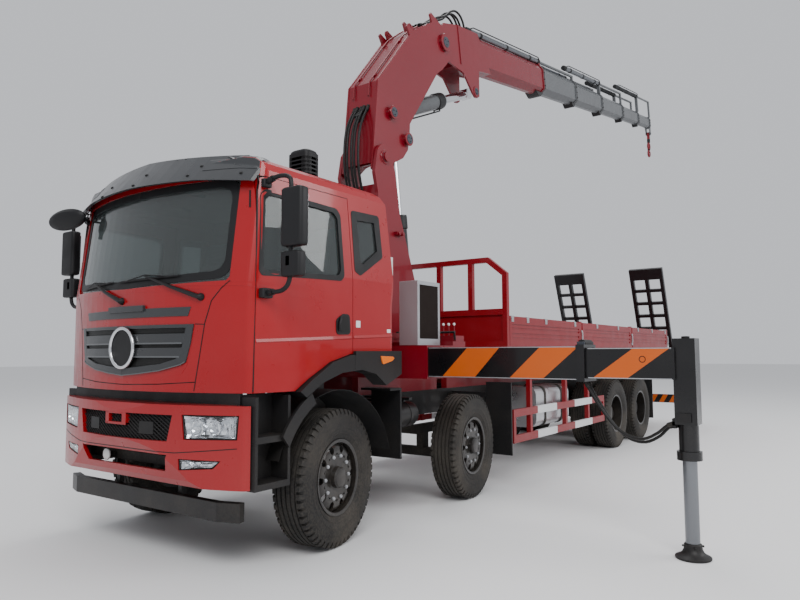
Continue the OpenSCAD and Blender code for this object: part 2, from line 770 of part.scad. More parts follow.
module sun_visor() home() color([0.2, 0.2, 0.21]) {
    lip = [1172, 2790];
    lean = 38;
    difference() {
        intersection() {
            difference() {
                translate([lip[0], 0, lip[1]]) rotate([0, -lean, 0]) translate([-cab_front, 0, -80])
                    linear_extrude(600) cab_plan(0);
                translate([lip[0], 0, lip[1]]) rotate([0, -lean, 0]) translate([-cab_front, 0, -90])
                    linear_extrude(620) cab_plan(22);
            }
            plate_x([[-1118, 2750], [-700, 2785], [0, 2800], [700, 2785], [1118, 2750],
                     [1118, 2860], [980, 2985], [0, 3045], [-980, 2985], [-1118, 2860]], [600, 1400]);
        }
        cab_form(-seat);
    }
    both() difference() {
        intersection() {
            block([880, 1100], [650, 700], [2900, 3045]);
            translate([lip[0], 0, lip[1]]) rotate([0, -lean, 0]) translate([-cab_front, 0, -90])
                linear_extrude(620) cab_plan(20);
        }
        cab_form(-seat);
    }
}

// wheel arch flares on the cab's sides
module wheel_arches() home() color([0.17, 0.17, 0.18]) both() difference() {
    plate_y([[-752, 1340], [-752, 1542], [-116, 1542], [-116, cab_under + 257],
             [-75, cab_under + 262], [170, cab_under + 201], [395, cab_under + 79],
             [520, 1245], [455, 1200], [282, 1300], [50, 1371], [-200, 1389], [-380, 1350],
             [-530, 1252]], [1100, 1250]);
    cab_form(-seat);
}

module cab_interior() home() color([0.3, 0.29, 0.28]) intersection() {
    cab_form(wall + seat);
    union() {
        // dashboard
        plate_y([[1100, 1200], [1100, 1950], [1030, 1990], [840, 1985], [640, 1930], [610, 1780],
                 [700, 1560], [700, 1200]], [-1060, 1060]);
        // seats
        for (y = [[-870, -330], [330, 870]]) {
            plate_y([[260, 1200], [260, 1660], [290, 1700], [290, 1800], [-160, 1770], [-240, 2420],
                     [-300, 2620], [-370, 2620], [-330, 2400], [-280, 1660], [-280, 1200]], y);
        }
        // engine cover between the seats
        block([-300, 500], [-300, 300], [1200, 1680]);
        // steering column and wheel
        translate([690, 600, 1800]) rotate([0, -52, 0]) {
            translate([0, 0, -40]) cylinder(r = 30, h = 300);
            translate([0, 0, 250]) cylinder(r = 75, h = 22);
            translate([0, 0, 262]) rotate_extrude() translate([215, 0]) circle(r = 15);
            block([-215, 215], [-18, 18], [254, 270]);
        }
    }
}

// ---------------------------------------------------------------- crane base and outriggers

tube_wall = 16;
tube_gap = 5;
right_beam_x = beam_left_x - beam_pitch;
housing_w = beam_w + 2 * (tube_gap + tube_wall);
housing_h = beam_h + 2 * (tube_gap + tube_wall);
base_top = 1680;
beam_axes = [beam_left_x, right_beam_x];

module crane_base() home() color("firebrick") {
    for (s = sides) on_side(s) translate([s > 0 ? beam_left_x : right_beam_x, 0, beam_z])
        wear_pad(beam_w, beam_h, housing_half);
    crane_base_body();
}

module crane_base_body() difference() {
    union() {
        for (x = beam_axes)
            block([x - housing_w / 2, x + housing_w / 2], [-housing_half, housing_half],
                  [beam_z - housing_h / 2, beam_z + housing_h / 2]);
        block([-2560, right_beam_x], [-430, 430],
              [beam_z - housing_h / 2, beam_z + housing_h / 2 + 40]);
        translate([slew_x, 0, beam_z]) cylinder(r = 430, h = base_top - beam_z, $fn = 96);
        both() block([-2620, -1150], [frame_half - 75, frame_half],
                     [frame_top + seat, beam_z - housing_h / 2 + 1]);
        // valve bank with its levers
        block([-2000, -1750], [429, 1180], [1560, 1640]);
        block([-1990, -1830], [760, 1170], [1639, 1700]);
        for (i = [0:5]) translate([-1870, 800 + 65 * i, 1699]) cylinder(r = 8, h = 110);
        oil_cooler();
    }
    for (i = [0, 1])
        block([beam_axes[i] - beam_w / 2 - tube_gap, beam_axes[i] + beam_w / 2 + tube_gap],
              [-housing_half - 1, housing_half + 1],
              [beam_z - beam_h / 2 - tube_gap, beam_z + beam_h / 2 + tube_gap]);
}

// wear pads under a beam at the mouth of the tube that guides it
module wear_pad(w, h, y1) {
    z0 = -h / 2 - tube_gap - 1;
    block([-w / 2 + 40, w / 2 - 40], [y1 - 140, y1 - 10], [z0, z0 + tube_gap + 1 - seat]);
    block([-w / 2 + 40, w / 2 - 40], [y1 - 140, y1 - 10], [-z0 - tube_gap - 1 + seat, -z0]);
}

// oil cooler in its frame beside the column
module oil_cooler() {
    x = [-1700, -1300];
    y = [840, 1050];
    z = [beam_z + housing_h / 2 - 1, 2232];
    difference() {
        block(x, y, z);
        for (e = [[x[0] - 1, x[0] + 60], [x[1] - 60, x[1] + 1]])
            block(e, [y[0] + 30, y[1] - 30], [z[0] + 120, z[1] - 40]);
    }
}

beam_1_in = 250;
inner_w = beam_w - 2 * (10 + tube_gap);
inner_h = beam_h - 2 * (10 + tube_gap);
beam_wall = 10;
function beam_x(s) = s > 0 ? beam_left_x : right_beam_x;

// first sliding beam: a box tube with a stop collar at its outer end
module outrigger_beam(s) home() color([0.05, 0.05, 0.06]) on_side(s) translate([beam_x(s), 0, beam_z]) {
    wear_pad(inner_w, inner_h, beam_1_out);
    difference() {
        union() {
            block([-beam_w / 2, beam_w / 2], [beam_1_in, beam_1_out], [-beam_h / 2, beam_h / 2]);
            block([-beam_w / 2 - 14, beam_w / 2 + 14], [beam_1_out - 70, beam_1_out],
                  [-beam_h / 2 - 14, beam_h / 2 + 14]);
        }
        block([-beam_w / 2 + beam_wall, beam_w / 2 - beam_wall], [beam_1_in - 1, beam_1_out + 1],
              [-beam_h / 2 + beam_wall, beam_h / 2 - beam_wall]);
    }
}

jack_r = 80;
jack_top = 190;
jack_low = 455;
// second sliding beam with the jack's outer leg at its end
module outrigger_arm(s) home() color([0.05, 0.05, 0.06]) on_side(s) translate([beam_x(s), 0, beam_z])
    difference() {
        union() {
            block([-inner_w / 2, inner_w / 2], [1750, jack_out - jack_r + 20], [-inner_h / 2, inner_h / 2]);
            translate([0, jack_out, 0]) {
                block([-jack_r, jack_r], [-jack_r, jack_r], [-jack_low, jack_top]);
                translate([0, 0, -jack_low - 200]) cylinder(r = jack_r - 8, h = 201);
                translate([0, 0, -jack_low - 265]) cylinder(r = jack_r + 10, h = 66);
            }
        }
        translate([0, jack_out, -jack_low - 266]) cylinder(r = 52 + pin_gap, h = jack_low + 266 + 120);
    }

pad_r = 128;
// jack's ram with its foot on the ground
module jack(s) home() color("silver") on_side(s) translate([beam_x(s), jack_out, 0]) {
    translate([0, 0, 34]) cylinder(r = 52, h = 886);
    rotate_extrude() polygon([[0, 0], [pad_r, 0], [pad_r, 16], [70, 34], [62, 60], [0, 60]]);
}

// ---------------------------------------------------------------- crane

pivot_x = slew_x + pivot_out;
// frame of the main boom: +X from the pivot to the elbow, +Z over the boom
module in_main() translate([pivot_x, 0, pivot_z]) rotate([0, main_tilt, 0]) mirror([1, 0, 0]) children();
elbow_x = pivot_x - main_len * cos(main_tilt);
elbow_z = pivot_z + main_len * sin(main_tilt);
// frame of the outer boom: +X from the elbow to the tip, +Z over the boom
module in_outer() translate([elbow_x, 0, elbow_z]) rotate([0, outer_tilt, 0]) mirror([1, 0, 0]) children();

cheek_t = 25;
column_gap = 8;
column_cheek = 42;
column_w = main_w + 2 * (column_gap + column_cheek);
main_inner = main_w / 2 - cheek_t;
// pins of the lift and fold cylinders, in the column's and the main boom's frames
lift_foot = [-2610, 1870];
lift_eye = [557, -194];
fold_foot = [572, 192];
fold_eye = [870, -504];
pin_r = 55;

module column() home() color("firebrick") {
    ring_z = base_top + 0.4;
    foot_z = ring_z + 59;
    w = column_w / 2;
    inner = main_w / 2 + column_gap;
    translate([slew_x, 0, ring_z]) cylinder(r = 440, h = 60, $fn = 96);
    difference() {
        union() {
            both() plate_y(concat(
                [[-1600, foot_z], [-1640, 2300], [-1700, 3300], [-1640, 3520]],
                arc([pivot_x, pivot_z], 150, 0, 190, 8),
                [[-2020, 3600], [-2115, 3112], [-2457, 2268], [-2473, foot_z]]), [inner, w]);
            plate_y([[-1600, foot_z], [-1640, 2300], [-1700, 3300], [-1700, 3400], [-2060, 3400],
                     [-2115, 3112], [-2370, 2268], [-2430, foot_z]], [-inner - 1, inner + 1]);
        }
        bar_y(pivot_x, pivot_z, pin_r + pin_gap, [-w - 1, w + 1]);
    }
    both() plate_y([[-2400, foot_z], [-2400, 2060], [-2620, 1960], [-2690, 1880], [-2640, 1790],
                    [-2480, foot_z]], [124, 152]);
    bar_y(lift_foot[0], lift_foot[1], 40, [-150, 150]);
}

lift_angle = atan2(pivot_z + lift_eye[0] * sin(main_tilt) + lift_eye[1] * cos(main_tilt) - lift_foot[1],
                   pivot_x - lift_eye[0] * cos(main_tilt) + lift_eye[1] * sin(main_tilt) - lift_foot[0]);
lift_len = norm([pivot_x - lift_eye[0] * cos(main_tilt) + lift_eye[1] * sin(main_tilt) - lift_foot[0],
                 pivot_z + lift_eye[0] * sin(main_tilt) + lift_eye[1] * cos(main_tilt) - lift_foot[1]]);
// frame of the lift cylinder: +Z from its foot to its eye
module in_lift() translate([lift_foot[0], 0, lift_foot[1]]) rotate([0, 90 - lift_angle, 0]) children();

// foot eye, tube and gland of a cylinder standing along +Z
module barrel(r, rod_r, length) difference() {
    union() {
        bar_y(0, 0, 78, [-r, r]);
        block([-r * 0.6, r * 0.6], [-r * 0.75, r * 0.75], [0, 90]);
        translate([0, 0, 85]) cylinder(r = r, h = length - 85);
        translate([0, 0, length - 60]) cylinder(r = r + 10, h = 60);
    }
    translate([0, 0, 120]) cylinder(r = rod_r + pin_gap, h = length);
    bar_y(0, 0, 40 + pin_gap, [-r - 1, r + 1]);
}

module rod(r, start, length, eye_r) {
    translate([0, 0, start]) cylinder(r = r, h = length - start);
    bar_y(0, length, eye_r, [-60, 60]);
}

module lift_barrel() home() color([0.08, 0.08, 0.09]) in_lift() barrel(108, 62, 1330);
module lift_rod() home() color("silver") in_lift() rod(62, 400, lift_len, 80);

module main_plate() polygon([
    [-228, 50], [676, 575], [1690, 522], [1722, 622], [1760, 622], [1800, 514], [2288, 331],
    [2330, 420], [2370, 420], [2447, 215], [2543, 40], [2560, -60], [2500, -180], [2316, -235],
    [2000, -190], [1828, -142], [784, -134], [650, -222], [490, -294], [330, -285], [139, -195],
    [-100, -150], [-200, -60]]);

module main_boom() home() color("crimson") in_main() {
    both() difference() {
        union() {
            translate([0, main_w / 2, 0]) rotate([90, 0, 0]) linear_extrude(cheek_t) main_plate();
            bar_y(0, 0, 90, [main_inner, main_w / 2 + 6]);
            for (p = [lift_eye, fold_foot])
                bar_y(p[0], p[1], 62, [main_w / 2 - 1, main_w / 2 + 45]);
            bar_y(main_len, 0, 105, [main_w / 2 - 1, main_w / 2 + 30]);
        }
        // seats of the pins
        bar_y(0, 0, pin_r + seat, [0, main_w]);
        bar_y(fold_foot[0], fold_foot[1], 40 + seat, [0, main_w / 2 + 10]);
        bar_y(main_len, 0, pin_r + seat, [0, main_w / 2 + 10]);
    }
    // web along the front and the top
    plate_y([[-150, 70], [676, 575], [1690, 522], [2200, 365], [2200, 335], [1690, 496],
             [684, 548], [-110, 66]], [-main_inner + seat, main_inner - seat]);
    // pins
    bar_y(fold_foot[0], fold_foot[1], 40, [-main_w / 2 - 9, main_w / 2 + 9]);
    bar_y(main_len, 0, pin_r, [-main_w / 2 - 9, main_w / 2 + 9]);
    bar_y(0, 0, pin_r, [-column_w / 2 - 40, column_w / 2 + 40]);
}

// fold cylinder between the main boom and the lug under the outer boom
fold_start = [pivot_x - fold_foot[0] * cos(main_tilt) + fold_foot[1] * sin(main_tilt),
              pivot_z + fold_foot[0] * sin(main_tilt) + fold_foot[1] * cos(main_tilt)];
fold_end = [elbow_x - fold_eye[0] * cos(outer_tilt) + fold_eye[1] * sin(outer_tilt),
            elbow_z + fold_eye[0] * sin(outer_tilt) + fold_eye[1] * cos(outer_tilt)];
fold_len = norm(fold_end - fold_start);
fold_angle = atan2(fold_end[1] - fold_start[1], fold_end[0] - fold_start[0]);
module in_fold() translate([fold_start[0], 0, fold_start[1]]) rotate([0, 90 - fold_angle, 0]) children();
module fold_barrel() home() color([0.08, 0.08, 0.09]) in_fold() barrel(100, 58, 1560);
module fold_rod() home() color("silver") in_fold() rod(58, 700, fold_len, 76);

// hexagonal box section, w wide and h high, keel down, standing on v = 0
function box_section(w, h, t) = [
    [-w * 0.12, t], [w * 0.12, t], [w / 2 - t, h * 0.17 + t * 0.3], [w / 2 - t, h * 0.80 - t * 0.3],
    [w * 0.27, h - t], [-w * 0.27, h - t], [-w / 2 + t, h * 0.80 - t * 0.3],
    [-w / 2 + t, h * 0.17 + t * 0.3]];
outer_v = -161;
// each box runs inside the last one: width, height and height of its keel
step_y = box_wall + box_gap;
step_v = 23;
function stage_w(i) = outer_w - 2 * step_y * i;
function stage_h(i) = outer_h - 2 * step_v * i;
function stage_v(i) = outer_v + step_v * i;
// end of each box along the outer boom, box 0 being the outer boom itself
stage_end = [outer_len, outer_len + 1640, outer_len + 3260, outer_len + 4800, outer_len + 6160,
             outer_len + 7280];
stage_start = [510, 1980, 3400, 4750, 5920, 6900];
collar_l = 70;
collar_t = 14;

module hollow_box(i, u0, u1) difference() {
    translate([0, 0, stage_v(i)]) plate_x(box_section(stage_w(i), stage_h(i), 0), [u0, u1]);
    translate([0, 0, stage_v(i)]) plate_x(box_section(stage_w(i), stage_h(i), box_wall), [u0 - 1, u1 + 1]);
}

// box with its end collar
module stage_box(i) {
    hollow_box(i, stage_start[i], stage_end[i]);
    difference() {
        translate([0, 0, stage_v(i) - collar_t])
            plate_x(box_section(stage_w(i) + 2 * collar_t, stage_h(i) + 2 * collar_t, 0),
                    [stage_end[i] - collar_l, stage_end[i]]);
        translate([0, 0, stage_v(i)])
            plate_x(box_section(stage_w(i), stage_h(i), box_wall / 2),
                    [stage_end[i] - collar_l - 1, stage_end[i] + 1]);
    }
}

// extension cylinders on top of the boom; row i is carried by box i
// columns: height over the outer boom's top, sideways place, length back from the carrier's collar
ext_rows = [[62, 70, 2600], [62, -70, 2350], [165, 70, 2050], [165, -70, 1900], [282, 70, 1750]];
ext_r = 42;
ext_rod_r = 24;
outer_top = outer_v + outer_h;
function ext_z(i) = outer_top + ext_rows[i][0];
module ext_barrel(i) {
    u1 = stage_end[i] - 10;
    u0 = u1 - ext_rows[i][2];
    difference() {
        union() {
            translate([u0, ext_rows[i][1], ext_z(i)]) rotate([0, 90, 0]) cylinder(r = ext_r, h = u1 - u0);
            block([u1 - 60, u1], [ext_rows[i][1] - 30, ext_rows[i][1] + 30],
                  [stage_v(i) + stage_h(i) - 5, ext_z(i)]);
        }
        translate([u0 + 60, ext_rows[i][1], ext_z(i)]) rotate([0, 90, 0])
            cylinder(r = ext_rod_r + 1, h = u1 - u0);
    }
}
// rod of the cylinder of box i - 1, fixed to the collar of box i
module ext_rod(i) {
    j = i - 1;
    u1 = stage_end[i] - 10;
    reach = stage_end[i] - stage_end[j] + 260;
    translate([u1 - reach, ext_rows[j][1], ext_z(j)]) rotate([0, 90, 0]) cylinder(r = ext_rod_r, h = reach);
    block([u1 - 50, u1], [ext_rows[j][1] - 20, ext_rows[j][1] + 20],
          [stage_v(i) + stage_h(i) - 5, ext_z(j)]);
}

module outer_boom() home() color("crimson") in_outer() {
    top = outer_v + outer_h;
    difference() {
        union() {
            stage_box(0);
            // head plates round the elbow, down to the fold cylinder's eye
            both() plate_y([[-120, -60], [-60, 110], [120, 300], [505, top + 10], [1080, top + 10],
                            [1400, outer_v - 12], [1020, outer_v - 30], [960, -560], [900, -590],
                            [830, -590], [770, -540], [560, -290], [120, -190], [-60, -150]],
                           [outer_w / 2 - 4, outer_w / 2 + 22]);
            plate_y([[500, top + 10], [1080, top + 10], [1080, top - 6], [500, top - 6]],
                    [-outer_w / 2, outer_w / 2]);
            plate_y([[500, outer_v - 14], [1400, outer_v - 14], [1400, outer_v + 6],
                     [500, outer_v + 6]], [-outer_w / 2, outer_w / 2]);
            // end plate of the box with its slot
            difference() {
                block([492, 514], [-188, 188], [outer_v - 14, top + 10]);
                block([491, 515], [-42, 42], [outer_v + 60, top - 60]);
            }
            both() bar_y(0, 0, 100, [outer_w / 2 - 4, main_inner - 2]);
        }
        bar_y(0, 0, pin_r + pin_gap, [-main_w, main_w]);
    }
    ext_barrel(0);
}

module boom_stage(i) home() color("gray") in_outer() {
    stage_box(i);
    ext_rod(i);
    if (i < 5) ext_barrel(i);
    if (i == 5) {
        // tip block that carries the hook
        translate([stage_end[5] - 1, 0, 0]) both()
            plate_y([[0, stage_v(5) + stage_h(5)], [90, stage_v(5) + stage_h(5) - 30],
                     [110, stage_v(5) + 40], [90, hook_v - 20], [65, hook_v - 45],
                     [15, hook_v - 45], [-10, hook_v - 20], [-60, stage_v(5)], [0, stage_v(5)]], [40, 56]);
        translate([stage_end[5] - 1, 0, stage_v(5)])
            block([-2, 14], [-60, 60], [0, stage_h(5)]);
        bar_y(hook_u, hook_v, 18, [-70, 70]);
    }
}

hook_u = stage_end[5] + 40;
hook_v = stage_v(5) - 135;
hook_x = elbow_x - hook_u * cos(outer_tilt) + hook_v * sin(outer_tilt);
hook_z = elbow_z + hook_u * sin(outer_tilt) + hook_v * cos(outer_tilt);
hook_ring = [78, 26];    // swivel ring's radius and its bar's
module hook() home() color("darkred") translate([hook_x, 0, hook_z]) {
    difference() {
        union() {
            bar_y(0, 0, 42, [-32, 32]);
            block([-30, 30], [-32, 32], [-150, 0]);
        }
        bar_y(0, 0, 18 + pin_gap, [-33, 33]);
    }
    translate([0, 0, -250]) cylinder(r = 30, h = 101);
    translate([0, 0, -340]) rotate([90, 0, 0]) rotate_extrude($fn = 64)
        translate([hook_ring[0], 0]) circle(r = hook_ring[1]);
    translate([0, 0, -470]) cylinder(r = 24, h = 75);
    translate([0, 0, -540]) rotate([90, 0, 0]) rotate([0, 0, -230]) rotate_extrude(angle = 320, $fn = 64)
        translate([74, 0]) circle(r = 24);
}

// ---------------------------------------------------------------- assembly

rear_reach = hook_x - hook_ring[0] - hook_ring[1];
shift = -(bumper_front + rear_reach) / 2;

chassis_frame();
axles();
engine_block();
fuel_tank();
side_guards();
mudguards();
bumper();
front_lamps();
underrun_guards();
bed_floor();
headboard();
crane_base();
cab_shell();
front_panel();
cab_glass();
sun_visor();
wheel_arches();
cab_interior();
door(1);  // door_left
door(-1);  // door_right
door_glass(1);  // door_glass_left
door_glass(-1);  // door_glass_right
mirror_arm(1);  // mirror_left
mirror_arm(-1);  // mirror_right
knuckle(1, 0, steer_1);  // knuckle_left_1
knuckle(-1, 0, steer_1);  // knuckle_right_1
knuckle(1, axle_2, steer_2);  // knuckle_left_2
knuckle(-1, axle_2, steer_2);  // knuckle_right_2
wheel_1(1);  // wheel_left_1
wheel_1(-1);  // wheel_right_1
wheel_2(1);  // wheel_left_2
wheel_2(-1);  // wheel_right_2
wheel_3(1);  // wheel_left_3
wheel_3(-1);  // wheel_right_3
wheel_4(1);  // wheel_left_4
wheel_4(-1);  // wheel_right_4
outrigger_beam(1);  // outrigger_beam_left
outrigger_beam(-1);  // outrigger_beam_right
outrigger_arm(1);  // outrigger_arm_left
outrigger_arm(-1);  // outrigger_arm_right
jack(1);  // jack_left
jack(-1);  // jack_right
dropside(1);  // dropside_left
dropside(-1);  // dropside_right
ramp(1);  // ramp_left
ramp(-1);  // ramp_right
column();
lift_barrel();
lift_rod();
main_boom();
fold_barrel();
fold_rod();
outer_boom();
boom_stage(1);  // boom_stage_1
boom_stage(2);  // boom_stage_2
boom_stage(3);  // boom_stage_3
boom_stage(4);  // boom_stage_4
boom_stage(5);  // boom_stage_5
hook();
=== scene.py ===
# %% [markdown]
# # A truck-mounted crane, dressed
# The rigid frame of the machine comes in first. It has the true sizes, the moving bodies and the
# joints, so everything made below is placed against it and rides on one of its bodies.

# %% Load the frame
import json
import math
import random

import bmesh
import bpy
from mathutils import Matrix, Vector


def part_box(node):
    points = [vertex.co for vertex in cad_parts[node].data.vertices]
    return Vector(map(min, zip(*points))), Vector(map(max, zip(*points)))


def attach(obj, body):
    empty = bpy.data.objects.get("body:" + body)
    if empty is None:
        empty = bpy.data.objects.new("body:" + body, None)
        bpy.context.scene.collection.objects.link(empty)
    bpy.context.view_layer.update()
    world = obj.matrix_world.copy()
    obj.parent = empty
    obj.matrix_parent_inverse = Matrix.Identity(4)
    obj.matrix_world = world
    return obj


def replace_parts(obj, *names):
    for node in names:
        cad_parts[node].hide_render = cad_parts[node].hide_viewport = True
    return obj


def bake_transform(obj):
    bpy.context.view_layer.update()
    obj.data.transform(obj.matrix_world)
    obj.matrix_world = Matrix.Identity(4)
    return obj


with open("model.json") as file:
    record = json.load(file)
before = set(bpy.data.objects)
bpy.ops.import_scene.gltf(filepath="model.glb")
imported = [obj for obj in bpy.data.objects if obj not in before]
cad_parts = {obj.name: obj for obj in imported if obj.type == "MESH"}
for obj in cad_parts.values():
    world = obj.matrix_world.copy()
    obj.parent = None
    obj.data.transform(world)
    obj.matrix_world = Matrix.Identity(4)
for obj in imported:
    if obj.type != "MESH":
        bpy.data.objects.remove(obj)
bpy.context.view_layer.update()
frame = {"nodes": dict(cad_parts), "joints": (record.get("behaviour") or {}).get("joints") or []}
nodes = frame["nodes"]
# the front axle stands 1.195 m behind the bumper's foremost point
front_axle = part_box("bumper")[1].x - 1.195


def at(x, y, z):
    """A point counted from the ground under the front axle, in the frame's own metres."""
    return Vector((x + front_axle, y, z))


# %% [markdown]
# ## Camera
# The machine is seen from low down at its front left corner, close enough for the bumper to look
# big and the boom's tip to look small. A short lens from eye height gives the same strong
# perspective; a longer lens further back would flatten it.

# %% Camera
camera = bpy.data.objects.new("camera", bpy.data.cameras.new("camera"))
bpy.context.scene.collection.objects.link(camera)
camera.data.lens = 30.10
camera.data.sensor_width = 36
camera.location = at(4.1005, 4.6834, 1.5287)
look = Vector((-0.812568, -0.577584, 0.078295))
level = Vector((-0.579596, 0.814896, -0.003704))
upward = Vector((0.061663, 0.048389, 0.996923))
turn = Matrix((level, upward, -look)).transposed()
camera.matrix_world = Matrix.Translation(camera.location) @ turn.to_4x4()
camera.data.clip_end = 200
bpy.context.scene.camera = camera
print("camera at", tuple(round(c, 3) for c in camera.location))

# %% [markdown]
# ## Light and floor
# A pale floor that fades into a white room keeps attention on the paint. Large soft lamps are
# mirrored in enamel as broad bands, which show the curve of each panel; small lamps would leave
# hard dots. One lamp is the key from the front left, one fills the far side.

# %% Light and floor
world = bpy.data.worlds.new("room")
world.use_nodes = True
sky = world.node_tree.nodes["Background"]
sky.inputs["Color"].default_value = (0.93, 0.95, 1.0, 1)
sky.inputs["Strength"].default_value = 0.75
bpy.context.scene.world = world


def soft_lamp(name, place, target, size, power):
    """A wide lamp at a place, turned towards its target."""
    lamp = bpy.data.objects.new(name, bpy.data.lights.new(name, "AREA"))
    lamp.data.shape = "RECTANGLE"
    lamp.data.size, lamp.data.size_y = size
    lamp.data.energy = power
    lamp.location = place
    lamp.rotation_mode = "QUATERNION"
    lamp.rotation_quaternion = (target - place).to_track_quat("-Z", "Y")
    bpy.context.scene.collection.objects.link(lamp)


soft_lamp("key", at(9, 9, 11), at(-2, 0, 2), (9, 6), 1500)
soft_lamp("fill", at(-8, 13, 8), at(-5, 0, 2), (10, 5), 800)
soft_lamp("top", at(-5, -2, 16), at(-5, 0, 0), (12, 6), 900)

floor_mesh = bpy.data.meshes.new("floor")
floor_half, drop = 80, 0.002  # the floor lies a little below the tyres, so that the two don't flicker
floor_mesh.from_pydata([(x * floor_half, y * floor_half, -drop)
                        for x, y in ((-1, -1), (1, -1), (1, 1), (-1, 1))], [], [(0, 1, 2, 3)])
floor = bpy.data.objects.new("floor", floor_mesh)
bpy.context.scene.collection.objects.link(floor)

# %% [markdown]
# ## A small kit for making shapes
# Sheet metal, bar, tube and turned parts make up nearly the whole machine. Each could be a
# separate object with modifiers, but a crane has hundreds of them. One Shape gathers many of
# these parts as plain vertices and faces and then becomes a single object with bevelled edges.

# %% Shape kit
class Shape:
    """Boxes, plates, tubes and turned parts gathered into one mesh."""

    def __init__(self):
        self.points = []
        self.faces = []

    def add(self, points, faces):
        first = len(self.points)
        self.points += [Vector(p) for p in points]
        self.faces += [tuple(first + i for i in f) for f in faces]

    def box(self, low, high, flip=1):
        """A box between two corners; flip is -1 for the same box on the machine's right side."""
        (a, b, c), (d, e, f) = low, high
        b, e = sorted((b * flip, e * flip))
        corners = [(x, y, z) for x in (a, d) for y in (b, e) for z in (c, f)]
        self.add(corners, [(0, 1, 3, 2), (4, 6, 7, 5), (0, 4, 5, 1), (2, 3, 7, 6),
                           (0, 2, 6, 4), (1, 5, 7, 3)])

    def plate(self, outline, axis, low, high):
        """An outline pushed along an axis: its two numbers are the two other axes in order."""
        order = {"x": lambda p, t: (t, p[0], p[1]), "y": lambda p, t: (p[0], t, p[1]),
                 "z": lambda p, t: (p[0], p[1], t)}[axis]
        n = len(outline)
        area = sum(outline[i][0] * outline[(i + 1) % n][1]
                   - outline[(i + 1) % n][0] * outline[i][1] for i in range(n))
        if (area > 0) == (axis == "y"):
            outline = outline[::-1]
        self.add([order(p, low) for p in outline] + [order(p, high) for p in outline],
                 [tuple(range(n))[::-1], tuple(range(n, 2 * n))]
                 + [(i, (i + 1) % n, n + (i + 1) % n, n + i) for i in range(n)])

    def loft(self, loops, closed=False):
        """Walls between loops of equal count; both ends are capped, or joined where it is closed."""
        n, count = len(loops[0]), len(loops)
        faces = []
        for i in range(count if closed else count - 1):
            j = (i + 1) % count
            faces += [(i * n + k, i * n + (k + 1) % n, j * n + (k + 1) % n, j * n + k) for k in range(n)]
        if not closed:
            faces += [tuple(range(n))[::-1], tuple((count - 1) * n + k for k in range(n))]
        self.add([p for loop in loops for p in loop], faces)

    def tube(self, path, radius, sides=12, closed=False):
        """A round bar along a line of points; radius is one number or one for each point."""
        path = [Vector(p) for p in path]
        n = len(path)
        normal = None
        rings = []
        for i, p in enumerate(path):
            before = path[i - 1] if i or closed else p
            after = path[(i + 1) % n] if i < n - 1 or closed else p
            along = (after - before).normalized()
            if normal is None:
                normal = along.orthogonal().normalized()
            normal = (normal - along * normal.dot(along)).normalized()
            side = along.cross(normal)
            r = radius[i] if isinstance(radius, (list, tuple)) else radius
            rings.append([p + (normal * math.cos(a) + side * math.sin(a)) * r
                          for a in (2 * math.pi * k / sides for k in range(sides))])
        self.loft(rings, closed)

    def turned(self, profile, centre=(0, 0, 0), axis=(0, 0, 1), sides=48, closed=False):
        """A lathe form: profile holds (radius, distance along the axis) pairs."""
        centre, axis = Vector(centre), Vector(axis).normalized()
        one = axis.orthogonal().normalized()
        two = axis.cross(one)
        self.loft([[centre + axis * t + (one * math.cos(a) + two * math.sin(a)) * r
                    for a in (2 * math.pi * k / sides for k in range(sides))] for r, t in profile], closed)

    def band(self, one, two, push, closed=True):
        """A thin strip between two lines of points, made solid by pushing its back away."""
        push = Vector(push)
        n = len(one)
        rows = [one, two, [Vector(p) + push for p in two], [Vector(p) + push for p in one]]
        faces = []
        for i in range(n if closed else n - 1):
            j = (i + 1) % n
            faces += [(a * n + i, a * n + j, b * n + j, b * n + i)
                      for a, b in ((0, 1), (1, 2), (2, 3), (3, 0))]
        if not closed:
            faces += [(0, n, 2 * n, 3 * n), (n - 1, 2 * n - 1, 3 * n - 1, 4 * n - 1)]
        self.add([p for row in rows for p in row], faces)

    def mirrored(self):
        """The same shape again on the other side of the machine's middle."""
        n = len(self.points)
        self.points += [Vector((p.x, -p.y, p.z)) for p in self.points]
        self.faces += [tuple(n + i for i in f)[::-1] for f in self.faces]
        return self

    def piece(self, name, body, material, bevel=0.0, move=None, angle=35):
        """One object of one finish that rides on a body; edges sharper than angle stay crisp."""
        mesh = bpy.data.meshes.new(name)
        move = move or (lambda p: at(p.x, p.y, p.z))
        mesh.from_pydata([move(p) for p in self.points], [], self.faces)
        mesh.validate()
        solid = bmesh.new()
        solid.from_mesh(mesh)
        bmesh.ops.recalc_face_normals(solid, faces=solid.faces)
        solid.to_mesh(mesh)
        solid.free()
        mesh.materials.append(material)
        piece = bpy.data.objects.new(name, mesh)
        bpy.context.scene.collection.objects.link(piece)
        if bevel:
            edge = piece.modifiers.new("rounded edges", "BEVEL")
            edge.width, edge.segments, edge.limit_method = bevel, 2, "ANGLE"
            edge.angle_limit = math.radians(40)
            edge.harden_normals = True
        mesh.shade_smooth()
        mesh.set_sharp_from_angle(angle=math.radians(angle))
        if body:
            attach(piece, body)
        return piece


print("a Shape gathers", [way for way in vars(Shape) if way[0] != "_"])

# %% [markdown]
# ## Finding the surface
# Seals, seams, handles and lamps lie on curved sheet metal. Their height and width are chosen, and
# the third number is found by casting a straight line at the frame's own mesh, so that each one
# sits on the panel however the panel curves.

# %% Rays onto the frame
from mathutils.bvhtree import BVHTree

trees = {}


